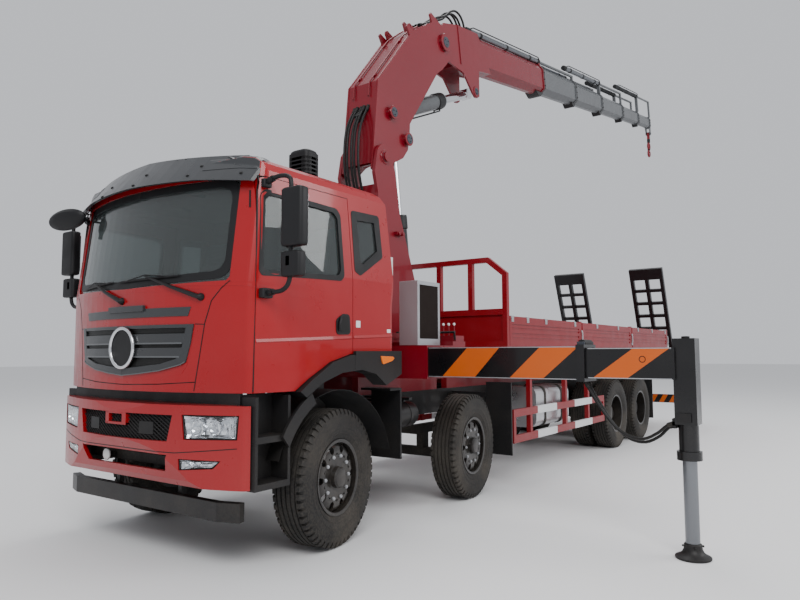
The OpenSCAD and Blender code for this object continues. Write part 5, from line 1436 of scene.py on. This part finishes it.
# %% Welds, lugs and pipes of the main boom
weld, lugs, pipes = Shape(), Shape(), Shape()
for s in (1, -1):
    corners = [(-0.150, 0.070), (0.20, 0.275), (0.676, 0.576), (1.2, 0.547), (1.690, 0.522), (2.196, 0.365)]
    edge = [in_main(u, s * 0.2005, v) for u, v in corners]
    bead = [p for a, b in zip(edge, edge[1:]) for p in [a.lerp(b, t / 8) for t in range(8)]]
    weld.tube(bead + [edge[-1]], 0.007, 6)
weld.piece("main_boom_welds", "main_boom", crane_red)
u, v = 1.84, 0.476  # where the lugs stand on the boom's back
for y in (0.17, -0.17):
    outline = [(u - 0.085, v - 0.03), (u + 0.085, v - 0.03),
               *((u + 0.045 * math.cos(a), v + 0.075 + 0.045 * math.sin(a)) for a in steps(0, math.pi, 10))]
    n = len(outline)
    lugs.add([in_main(p[0], y + off, p[1]) for off in (-0.011, 0.011) for p in outline],
             [tuple(range(n)), tuple(range(n, 2 * n))[::-1]]
             + [(i, (i + 1) % n, n + (i + 1) % n, n + i) for i in range(n)])
    for k in (-1, 1):
        lugs.turned([(0.016, 0), (0.024, 0), (0.024, 0.006), (0.016, 0.006)],
                    in_main(u, y + k * 0.011, v + 0.078), (0, k, 0), 20, closed=True)
lugs.piece("lifting_lugs", "main_boom", crane_red, 0.002)
for y in (-0.11, 0.11):
    line, _ = spline([in_main(0.52, y, 0.52), in_main(0.66, y, 0.592), in_main(0.80, y, 0.597),
                      in_main(1.2, y, 0.575), in_main(1.6, y, 0.552), in_main(1.75, y, 0.530),
                      in_main(1.95, y, 0.475), in_main(2.1, y, 0.43)], 40)
    pipes.tube([p - (in_main(0, 0, 1) - in_main(0, 0, 0)) * 0.012 for p in line], 0.009, 10)
for u, v in ((0.82, 0.568), (1.58, 0.530)):
    for y in (-0.11, 0.11):
        solid(pipes, in_main, (u - 0.02, y - 0.020, v - 0.030), (u + 0.02, y + 0.020, v + 0.016))
pipes.piece("main_boom_pipes", "main_boom", crane_red)
# the opening is not cut: a black box stands in it as painted shade, the inside of the boom seen through the
# opening
web_slot_shade = Shape()
solid(web_slot_shade, in_main, (0.285, -0.045, 0.348), (0.425, 0.045, 0.427))
web_slot_shade.piece("web_opening_shade", "main_boom", hose_black_and_shade)
print("main boom dressed")

# %% [markdown]
# ## Collars and telescopic cylinders
# Each box of the outer boom ends in a collar with a wear block, and its own cylinder lies on top.
# One loop makes them all from a few sizes that shrink evenly, which keeps them in line.

# %% Collars and telescopic cylinders
spread_out = 0.014  # how far a collar stands proud of its box
ends = [3.540, 5.180, 6.800, 8.340, 9.700, 10.820]  # where each box ends along the outer boom
block_lengths = (0.30, 0.21, 0.19, 0.155, 0.155)
# height above the first row, place across and length of each cylinder
rows_of_cylinders = [(0.062, 0.070, 2.600), (0.062, -0.070, 2.350), (0.165, 0.070, 2.050),
                     (0.165, -0.070, 1.900), (0.282, 0.070, 1.750)]
for i in range(6):
    body = "outer_boom" if i == 0 else f"boom_stage_{i}"
    w, h, base, end = 0.310 - 0.032 * i, 0.506 - 0.046 * i, -0.161 + 0.023 * i, ends[i]
    dark, bolts, fittings = Shape(), Shape(), Shape()

    def section(u, more):
        k = 1 + more / (w / 2)
        outline = [(-w * 0.12, 0), (w * 0.12, 0), (w / 2, h * 0.17), (w / 2, h * 0.80), (w * 0.27, h),
                   (-w * 0.27, h), (-w / 2, h * 0.80), (-w / 2, h * 0.17)]
        return [in_outer(u, y * k, base + h / 2 + (z - h / 2) * (1 + more / (h / 2))) for y, z in outline]

    dark.loft([section(end - 0.045, spread_out + 0.002), section(end - 0.006, spread_out + 0.002),
               section(end + 0.012, 0.004), section(end + 0.012, -0.010),
               section(end - 0.045, -0.010)], closed=True)
    if i < 5:
        back = block_lengths[i]
        solid(dark, in_outer, (end - back, -w * 0.34, base - 0.052),
              (end + 0.012, w * 0.34, base + 0.030), taper=0.4 * back)
        solid(dark, in_outer, (end - 0.05, -w * 0.30, base + h - 0.004),
              (end + 0.012, w * 0.30, base + h + 0.016))
    for s in (1, -1):
        for z in (0.26, 0.48, 0.70):
            bolts.turned([(0.011, 0), (0.011, 0.007), (0.008, 0.009), (0.001, 0.009)],
                         in_outer(end - 0.026, s * (w / 2 + spread_out + 0.002), base + h * z), (0, s, 0), 6)
    dark.piece(f"{body}_collar", body, black, 0.003)
    bolts.piece(f"{body}_collar_bolts", body, iron)
    if i < 5:
        up, y, long = rows_of_cylinders[i]
        level, u1 = 0.345 + up, end - 0.010
        u0 = u1 - long
        axis = in_outer(1, 0, 0) - in_outer(0, 0, 0)
        fittings.turned([(0.001, -0.012), (0.030, -0.012), (0.045, 0.0), (0.047, 0.05), (0.047, 0.085),
                         (0.043, 0.095)], in_outer(u0, y, level), axis, 28)
        fittings.turned([(0.043, -0.11), (0.047, -0.10), (0.047, -0.02), (0.044, 0.0), (0.026, 0.006),
                         (0.0255, 0.03)], in_outer(u1, y, level), axis, 28)
        for t in (0.16, 0.5, 0.84):
            u = u0 + long * t
            fittings.turned([(0.043, -0.028), (0.0475, -0.028), (0.0475, 0.028), (0.043, 0.028)],
                            in_outer(u, y, level), axis, 28, closed=True)
        side = 1 if y > 0 else -1
        pipe, _ = spline([in_outer(u0 + 0.04, y + side * 0.046, level + 0.01),
                          in_outer(u0 + 0.10, y + side * 0.066, level + 0.03),
                          in_outer(u0 + 0.30, y + side * 0.068, level + 0.035),
                          in_outer(u1 - 0.35, y + side * 0.068, level + 0.035),
                          in_outer(u1 - 0.14, y + side * 0.066, level + 0.03),
                          in_outer(u1 - 0.07, y + side * 0.048, level + 0.01)], 40)
        fittings.tube(pipe, 0.009, 8)
        fittings.piece(f"{body}_cylinder_ends", body, plastic, 0.002)
        sleeve = Shape()
        sleeve.turned([(0.0424, 0.04), (0.0434, 0.04), (0.0434, long - 0.06), (0.0424, long - 0.06)],
                      in_outer(u0, y, level), axis, 32, closed=True)
        sleeve.piece(f"{body}_cylinder", body, jack_steel if i in (0, 2) else slate if i == 1 else plastic)


print("collars and cylinders made")

# %% [markdown]
# ## Glands and pipes of the two big cylinders
# A dark gland closes each barrel where the rod comes out, and two pipes feed it. They are turned
# and swept along the cylinder's own line, so they sit true at its slant.

# %% Glands and pipes of the two big cylinders
for node, r in (("fold_barrel", 0.100), ("lift_barrel", 0.108)):
    if node == "fold_barrel":
        one, two = in_main(0.572, 0, 0.192), in_outer(0.870, 0, -0.504)
        reach = 1.560
    else:
        one, two = Vector((-2.610, 0, 1.870)), in_main(0.557, 0, -0.194)
        reach = 1.330
    axis = (two - one).normalized()
    gland, tapping = Shape(), Shape()
    gland.turned([(r + 0.001, -0.17), (r + 0.012, -0.16), (r + 0.012, -0.02), (r + 0.002, 0.0),
                  (r * 0.62, 0.004), (r * 0.60, -0.01)], one + axis * reach, axis, 48)
    gland.piece(f"{node}_gland", node, plastic)
    side = axis.cross(Vector((0, 1, 0))).normalized() * (1 if node == "fold_barrel" else -1)
    if side.z > 0 and node == "fold_barrel":  # the fold cylinder's pipes run along its underside
        side = -side
    for off in (-0.045, 0.045):
        a, b = one + axis * 0.16, one + axis * (reach - 0.10)
        shift = Vector((0, off, 0))
        path = [a + side * (r - 0.012), a + side * (r + 0.020) + axis * 0.05,
                a + side * (r + 0.028) + axis * 0.14, b + side * (r + 0.028) - axis * 0.14,
                b + side * (r + 0.020) - axis * 0.05, b + side * (r - 0.005)]
        line, _ = spline([p + shift for p in path], 36)
        tapping.tube(line, 0.010, 8)
    block, half = one + axis * 0.10 + side * r * 0.9, Vector((0.05, 0.06, 0.05))
    tapping.box(block - half, block + half)
    tapping.piece(f"{node}_pipes", node, hose_black_and_shade, 0.002)


print("glands made")

# %% [markdown]
# ## Column and hook
# A bracket, a blank label and the slewing ring's bolts dress the column. The hook gets its cheeks,
# swivel and latch. Carving them from one block would blur where one piece ends, so each is turned
# or bent alone, as a smith would make it.

# %% Column and hook
# service bracket, blank label, bolts of the slewing ring
bracket, label, bolts = Shape(), Shape(), Shape()
bracket.box((-2.12, 0.268, 2.862), (-2.00, 0.315, 2.902))
bracket.tube([(-2.03, 0.275, 2.88), (-2.03, 0.335, 2.88)], 0.022, 16)
bracket.tube([(-2.10, 0.275, 2.88), (-2.10, 0.335, 2.88)], 0.022, 16)
bracket.piece("column_bracket", "column", crane_red, 0.003)
label.plate([(-1.86, 2.395), (-1.97, 2.395), (-1.97, 2.60), (-1.86, 2.60)], "y", 0.2698, 0.2715)
label.piece("column_blank_label", "column", label_white)
slew_x, bolt_r, bolt_count = -2.03, 0.415, 28
for k in range(bolt_count):
    a = 2 * math.pi * (k + 0.5) / bolt_count
    place = (slew_x + bolt_r * math.cos(a), bolt_r * math.sin(a), 1.738)
    bolts.turned([(0.019, 0), (0.019, 0.016), (0.015, 0.020), (0.001, 0.020)], place, sides=6)
bolts.piece("slewing_ring_bolts", "column", iron)

# shackle cheeks, swivel nut and latch of the hook
hook_at = Vector((-13.9265, 0.0, 7.3073))
dark, latch = Shape(), Shape()
for s in (1, -1):
    dark.turned([(0.001, 0.0), (0.036, 0.0), (0.040, 0.006), (0.036, 0.012), (0.001, 0.012)],
                hook_at + Vector((0, s * 0.032, 0)), (0, s, 0), 28)
dark.turned([(0.031, -0.150), (0.040, -0.156), (0.040, -0.235), (0.031, -0.250), (0.031, -0.25),
             (0.031, -0.16)], hook_at, sides=32, closed=True)
dark.turned([(0.025, -0.402), (0.036, -0.408), (0.036, -0.448), (0.025, -0.458)],
            hook_at, sides=6, closed=True)
dark.piece("hook_block", "hook", plastic, 0.002)
latch_line = [(0.062, 0, -0.500), (0.030, 0, -0.512), (-0.012, 0, -0.530), (-0.050, 0, -0.552)]
latch.tube([hook_at + Vector(p) for p in latch_line], 0.008, 8)
latch.piece("hook_latch", "hook", silver_and_highlight)
print("column and hook dressed")

# %% [markdown]
# ## Outriggers
# The beams warn traffic with slanting stripes. A striped texture would blur at the edges, so each
# stripe is a thin plate on the beam's own face, and the arm still slides in and out below it. The
# silver strips along the top and bottom edge of each face are painted highlights.

# %% Outriggers
beam_stripes = ((1.399, 1.740, 1.672, 1.993), (2.081, 2.388, 2.371, 2.704))
arm_stripes = ((2.811, 3.083, 3.140, 3.412),)
jack_y = 3.5
for side, middle, flip in (("left", -1.310, 1), ("right", -1.610, -1)):
    for body, half, low, high, stripes in ((f"outrigger_beam_{side}", 0.125, 1.3035, 1.5725, beam_stripes),
                                           (f"outrigger_arm_{side}", 0.110, 1.3185, 1.5575, arm_stripes)):
        paint, lines = Shape(), Shape()
        for face in (1, -1):
            x = middle + face * half
            for a, b, c, d in stripes:
                outline = [(a * flip, low), (b * flip, low), (d * flip, high), (c * flip, high)]
                paint.plate(outline, "x", *sorted((x, x + face * 0.0012)))
            y0, y1 = (1.255, 2.752) if "beam" in body else (2.775, 3.42)
            x0, x1 = sorted((x, x + face * 0.0018))
            # silver strips along each face's top and bottom edge: painted highlights where the flange edges
            # catch the light
            for z0, z1 in ((high - 0.006, high + 0.001), (low - 0.001, low + 0.006)):
                lines.box((x0, y0, z0), (x1, y1, z1), flip)
        paint.piece(f"{body}_stripes", body, orange)
        lines.piece(f"{body}_edges", body, silver_and_highlight)
    beam, arm = f"outrigger_beam_{side}", f"outrigger_arm_{side}"
    collar, roller, parts, ram, foot, mark = Shape(), Shape(), Shape(), Shape(), Shape(), Shape()
    collar.box((middle - 0.131, 2.700, 1.300), (middle + 0.131, 2.752, 1.306), flip)
    collar.box((middle - 0.131, 2.700, 1.570), (middle + 0.131, 2.752, 1.580), flip)
    for face in (1, -1):
        x0, x1 = sorted((middle + face * 0.1245, middle + face * 0.132))
        collar.box((x0, 2.700, 1.300), (x1, 2.752, 1.580), flip)
    collar.piece(f"{beam}_collar", beam, black, 0.002)
    roller.tube([(middle - 0.09, 2.720 * flip, 1.596), (middle + 0.09, 2.720 * flip, 1.596)], 0.034, 28)
    roller.piece(f"{beam}_roller", beam, plastic, 0.003)
    for face in (1, -1):
        x = middle + face * 0.100
        parts.box((x - 0.008, 2.685, 1.574), (x + 0.008, 2.75, 1.612), flip)
    parts.piece(f"{beam}_roller_cheeks", beam, slate, 0.002)
    fittings = Shape()
    for z in (0.99, 0.97):
        fittings.box((middle - 0.06, 3.395, z - 0.02), (middle + 0.06, 3.425, z + 0.035), flip)
    fittings.box((middle + 0.079, 3.44, 1.00), (middle + 0.100, 3.54, 1.07), flip)
    fittings.turned([(0.002, 0.0), (0.030, 0.0), (0.030, 0.016), (0.002, 0.018)],
                    (middle, jack_y * flip, 1.628), sides=24)
    fittings.piece(f"{arm}_fittings", arm, plastic, 0.003)
    mark.turned([(0.020, 0.0), (0.026, 0.0), (0.026, 0.0022), (0.020, 0.0022)],
                (middle + 0.110, 3.205 * flip, 1.470), (1, 0, 0), 40, closed=True)
    mark.piece(f"{arm}_mark", arm, hose_black_and_shade)
    ram.turned([(0.002, 0.098), (0.050, 0.098), (0.052, 0.104), (0.052, 0.915), (0.048, 0.920),
                (0.002, 0.920)], (middle, jack_y * flip, 0), sides=56)
    made = ram.piece(f"jack_{side}_ram", f"jack_{side}", jack_steel)
    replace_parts(made, f"jack_{side}")
    foot.turned([(0.002, 0.0), (0.124, 0.0), (0.128, 0.004), (0.128, 0.014), (0.118, 0.020), (0.096, 0.030),
                 (0.078, 0.046), (0.068, 0.066), (0.064, 0.084), (0.064, 0.102), (0.058, 0.109),
                 (0.053, 0.110)], (middle, jack_y * flip, 0), sides=56)
    for k in range(4):
        a = math.pi / 2 * k + 0.4
        out = Vector((math.cos(a), math.sin(a), 0))
        foot.turned([(0.008, 0), (0.008, 0.010), (0.005, 0.012), (0.001, 0.012)],
                    (middle + 0.066 * math.cos(a), jack_y * flip + 0.066 * math.sin(a), 0.090), out, 6)
    foot.piece(f"jack_{side}_foot", f"jack_{side}", plastic)
print("outriggers dressed")

# %% [markdown]
# ## Guards and tank
# The side guards alternate red and white, and the tank hangs in two dark straps with a filler cap.
# The white bands are thin sleeves round the rails and not a painted mask, so that their edges
# stay sharp from close by.

# %% Guards and tank
sleeves = Shape()
for x0, x1 in ((-4.360, -3.750), (-5.690, -5.000)):
    for z0, z1 in ((0.470, 0.560), (0.770, 0.860)):
        sleeves.box((x0, 1.1688, z0 - 0.0012), (x1, 1.2062, z1 + 0.0012))
sleeves.mirrored().piece("guard_white_bands", "chassis", white)
straps, cap = Shape(), Shape()
for x in (-4.80, -4.24):
    outline = rounded([(0.556, 0.556), (1.094, 0.556), (1.094, 1.084), (0.556, 1.084)], 0.11, 8)
    inner = rounded([(0.562, 0.562), (1.088, 0.562), (1.088, 1.078), (0.562, 1.078)], 0.105, 8)
    loops = ((-0.03, outline), (0.03, outline), (0.03, inner), (-0.03, inner))
    straps.loft([[Vector((x + dx, *p)) for p in line] for dx, line in loops], closed=True)
straps.piece("tank_straps", "chassis", iron)
filler = (-4.05, 0.95, 1.079)
cap.turned([(0.002, 0.0), (0.055, 0.0), (0.055, 0.030), (0.048, 0.036), (0.002, 0.036)], filler, sides=36)
cap.turned([(0.066, -0.004), (0.066, 0.006), (0.056, 0.010), (0.056, -0.004)], filler, sides=36, closed=True)
cap.piece("tank_filler", "chassis", plastic)
print("guards and tank made")

# %% [markdown]
# ## Dropsides
# Bright latches hold the dropsides along their top rail and levers lock the posts. They repeat, so
# each kind is placed by a loop over its places along the bed.

# %% Dropsides
bed_end, bay = -10.020, 2.40167
for side, flip in (("left", 1), ("right", -1)):
    latches, ribs, post_parts = Shape(), Shape(), Shape()
    for x in (-2.98, -3.40, -3.95, -4.96, -5.87, -6.88, -8.00, -8.90, -9.85):
        latches.box((x - 0.035, 1.214, 1.926), (x + 0.035, 1.2565, 1.950), flip)
        latches.box((x - 0.030, 1.250, 1.880), (x + 0.030, 1.2575, 1.946), flip)
        latches.tube([(x - 0.02, 1.257 * flip, 1.90), (x + 0.02, 1.257 * flip, 1.90)], 0.007, 8)
    latches.piece(f"dropside_{side}_latches", f"dropside_{side}", silver_and_highlight, 0.002)
    for i in range(3):
        x0, x1 = bed_end + bay * i + 0.10, bed_end + bay * (i + 1) - (0.16 if i == 2 else 0.10)
        for z in (1.712, 1.826):
            ribs.box((x0, 1.2385, z - 0.014), (x1, 1.2475, z + 0.014), flip)
        x = bed_end + bay * i
        post_parts.tube([(x, 1.252 * flip, 1.665), (x, 1.262 * flip, 1.70), (x + 0.012, 1.266 * flip, 1.80),
                         (x + 0.02, 1.258 * flip, 1.835)], 0.010, 10)
        post_parts.box((x - 0.026, 1.246, 1.640), (x + 0.026, 1.262, 1.675), flip)
    ribs.piece(f"dropside_{side}_ribs", f"dropside_{side}", body_red, 0.004)
    post_parts.piece(f"post_levers_{side}", "chassis", silver_and_highlight, 0.002)


print("dropsides made")

# %% [markdown]
# ## Oil cooler, levers and rear bar
# The cooler is a framed core with upright fins; thin boxes show its comb of shadows, which a
# texture would lose close up. Knobs, the rear stripes and the lamps finish the back.

# %% Oil cooler, levers and rear bar
core, fins, frame_edges, knobs, bar = Shape(), Shape(), Shape(), Shape(), Shape()
core.box((-1.672, 1.0485, 1.66), (-1.328, 1.0515, 2.20))
core.piece("cooler_core", "chassis", core_brown)
for x in steps(-1.665, -1.335, 30):
    fins.box((x - 0.0018, 1.0505, 1.665), (x + 0.0018, 1.0555, 2.195))
fins.piece("cooler_fins", "chassis", core_brown)
for x0, x1 in ((-1.702, -1.668), (-1.332, -1.298)):
    frame_edges.box((x0, 0.838, 1.60), (x1, 1.058, 2.234))
for z0, z1 in ((2.196, 2.234), (1.60, 1.664)):
    frame_edges.box((-1.70, 0.838, z0), (-1.30, 1.0575, z1))
frame_edges.box((-1.2995, 0.842, 1.60), (-1.2965, 1.055, 2.232))
frame_edges.piece("cooler_frame", "chassis", silver_and_highlight, 0.003)
for i in range(6):
    knobs.turned([(0.001, -0.014), (0.008, -0.012), (0.013, -0.005), (0.014, 0.003), (0.011, 0.010),
                  (0.005, 0.014), (0.001, 0.015)], (-1.87, 0.800 + 0.065 * i, 1.818), sides=20)
knobs.piece("lever_knobs", "chassis", label_white)
bar.tube([(-1.81, 0.76, 1.735), (-1.81, 1.17, 1.735)], 0.012, 12)
bar.tube([(-1.81, 0.77, 1.735), (-1.83, 0.77, 1.66)], 0.010, 10)
bar.tube([(-1.81, 1.16, 1.735), (-1.83, 1.16, 1.66)], 0.010, 10)
bar.piece("lever_guard", "chassis", plastic)
marks, lamps_rear, lamp_box = Shape(), Shape(), Shape()
for k in range(6):
    y = 0.10 + 0.20 * k
    for x0, x1 in ((-10.5805, -10.5788), (-10.6412, -10.6395)):
        marks.plate([(y, 0.474), (y + 0.095, 0.474), (min(y + 0.19, 1.21), 0.636),
                     (min(y + 0.095, 1.21), 0.636)], "x", x0, x1)
marks.mirrored().piece("rear_bar_stripes", "chassis", orange)
for y in (0.72, 0.86, 1.00):
    lamp_box.box((-10.02, y - 0.005, 1.10), (-9.95, y + 0.135, 1.24))
    corners = [(y + 0.008, 1.112), (y + 0.122, 1.112), (y + 0.122, 1.228), (y + 0.008, 1.228)]
    lamps_rear.plate(rounded(corners, 0.02), "x", -10.034, -10.018)
lamp_box.box((-9.99, 0.40, 1.15), (-9.96, 0.75, 1.20))
lamp_box.mirrored().piece("rear_lamp_boxes", "chassis", plastic, 0.003)
lamps_rear.mirrored().piece("rear_lamps", "chassis", amber, 0.002)
print("cooler, levers and rear bar made")

# %% [markdown]
# ## Seats
# A seat is soft, and its crown and its piping show that. Each cushion starts as a grid whose middle
# is pushed out and whose edges turn under, then a subdivision surface rounds it. Cloth simulation
# would give nearly the same shape for firm foam and take far longer.

# %% Seats
def cushion(name, corner, across_way, along_way, out_way, thick, crown):
    """A crowned cushion over a parallelogram, pushed out along out_way."""
    corner, across_way, along_way, out_way = map(Vector, (corner, across_way, along_way, out_way))
    n = 10
    pad = Shape()
    top, low = [], []
    for i in range(n + 1):
        for k in range(n + 1):
            u, v = i / n, k / n
            swell = (1 - (2 * u - 1) ** 4) * (1 - (2 * v - 1) ** 4)
            bolster = 0.022 * max(0, abs(2 * u - 1) - 0.45) * (1 - (2 * v - 1) ** 6)
            flutes = 0.004 * math.cos(v * math.pi * 8) * (1 if abs(2 * u - 1) < 0.6 else 0)
            base = corner + across_way * u + along_way * v
            height = thick * (0.45 + 0.55 * min(1, swell * 3)) + crown * swell + bolster * 2 + flutes
            top.append(base + out_way * height)
            low.append(base)
    m = n + 1
    squares = [(i * m + k, i * m + k + 1, (i + 1) * m + k + 1, (i + 1) * m + k)
               for i in range(n) for k in range(n)]
    pad.add(top + low, squares + [tuple(m * m + q for q in (a, d, c, b)) for a, b, c, d in squares])
    loop = grid_edge(m, m)
    around = len(loop)
    pad.add([pad.points[i] for i in loop] + [pad.points[m * m + i] for i in loop],
            [(a, (a + 1) % around, around + (a + 1) % around, around + a) for a in range(around)])
    made = pad.piece(name, "cab", cloth, angle=180)
    weld_mod = made.modifiers.new("joined", "WELD")
    weld_mod.merge_threshold = 0.0005
    smooth = made.modifiers.new("soft", "SUBSURF")
    smooth.levels = smooth.render_levels = 2
    piping = Shape()
    piping.tube([top[i] * 0.5 + low[i] * 0.5 for i in loop], 0.006, 8, closed=True)
    piping.piece(name + "_piping", "cab", plastic)


for side, y in (("left", 0.335), ("right", -0.865)):
    cushion(f"seat_{side}_base", (-0.155, y, 1.770), (0, 0.53, 0), (0.440, 0, 0.030), (0, 0, 1), 0.055, 0.022)
    cushion(f"seat_{side}_back", (-0.168, y, 1.815), (0, 0.53, 0), (-0.072, 0, 0.585), (0.99, 0, 0.12),
            0.050, 0.020)
    cushion(f"seat_{side}_head", (-0.248, y + 0.105, 2.425), (0, 0.32, 0), (-0.052, 0, 0.185),
            (0.96, 0, 0.27), 0.045, 0.018)
wheel_rim = Shape()
tilt = Matrix.Translation(Vector((0.690, 0.600, 1.800))) @ Matrix.Rotation(math.radians(-52), 4, "Y")
wheel_rim.tube([tilt @ Vector((0.215 * math.cos(a), 0.215 * math.sin(a), 0.262))
                for a in [2 * math.pi * k / 64 for k in range(64)]], 0.0165, 12, closed=True)
wheel_rim.piece("steering_wheel_cover", "cab", plastic)
dials = Shape()
for y in (0.50, 0.70):
    dials.turned([(0.001, 0.0), (0.052, 0.0), (0.056, 0.006), (0.050, 0.010), (0.001, 0.008)],
                 (0.640, y, 1.85), (-0.95, 0, 0.3), 32)
dials.piece("dials", "cab", hose_black_and_shade)
print("seats, steering wheel and dials made")

# %% [markdown]
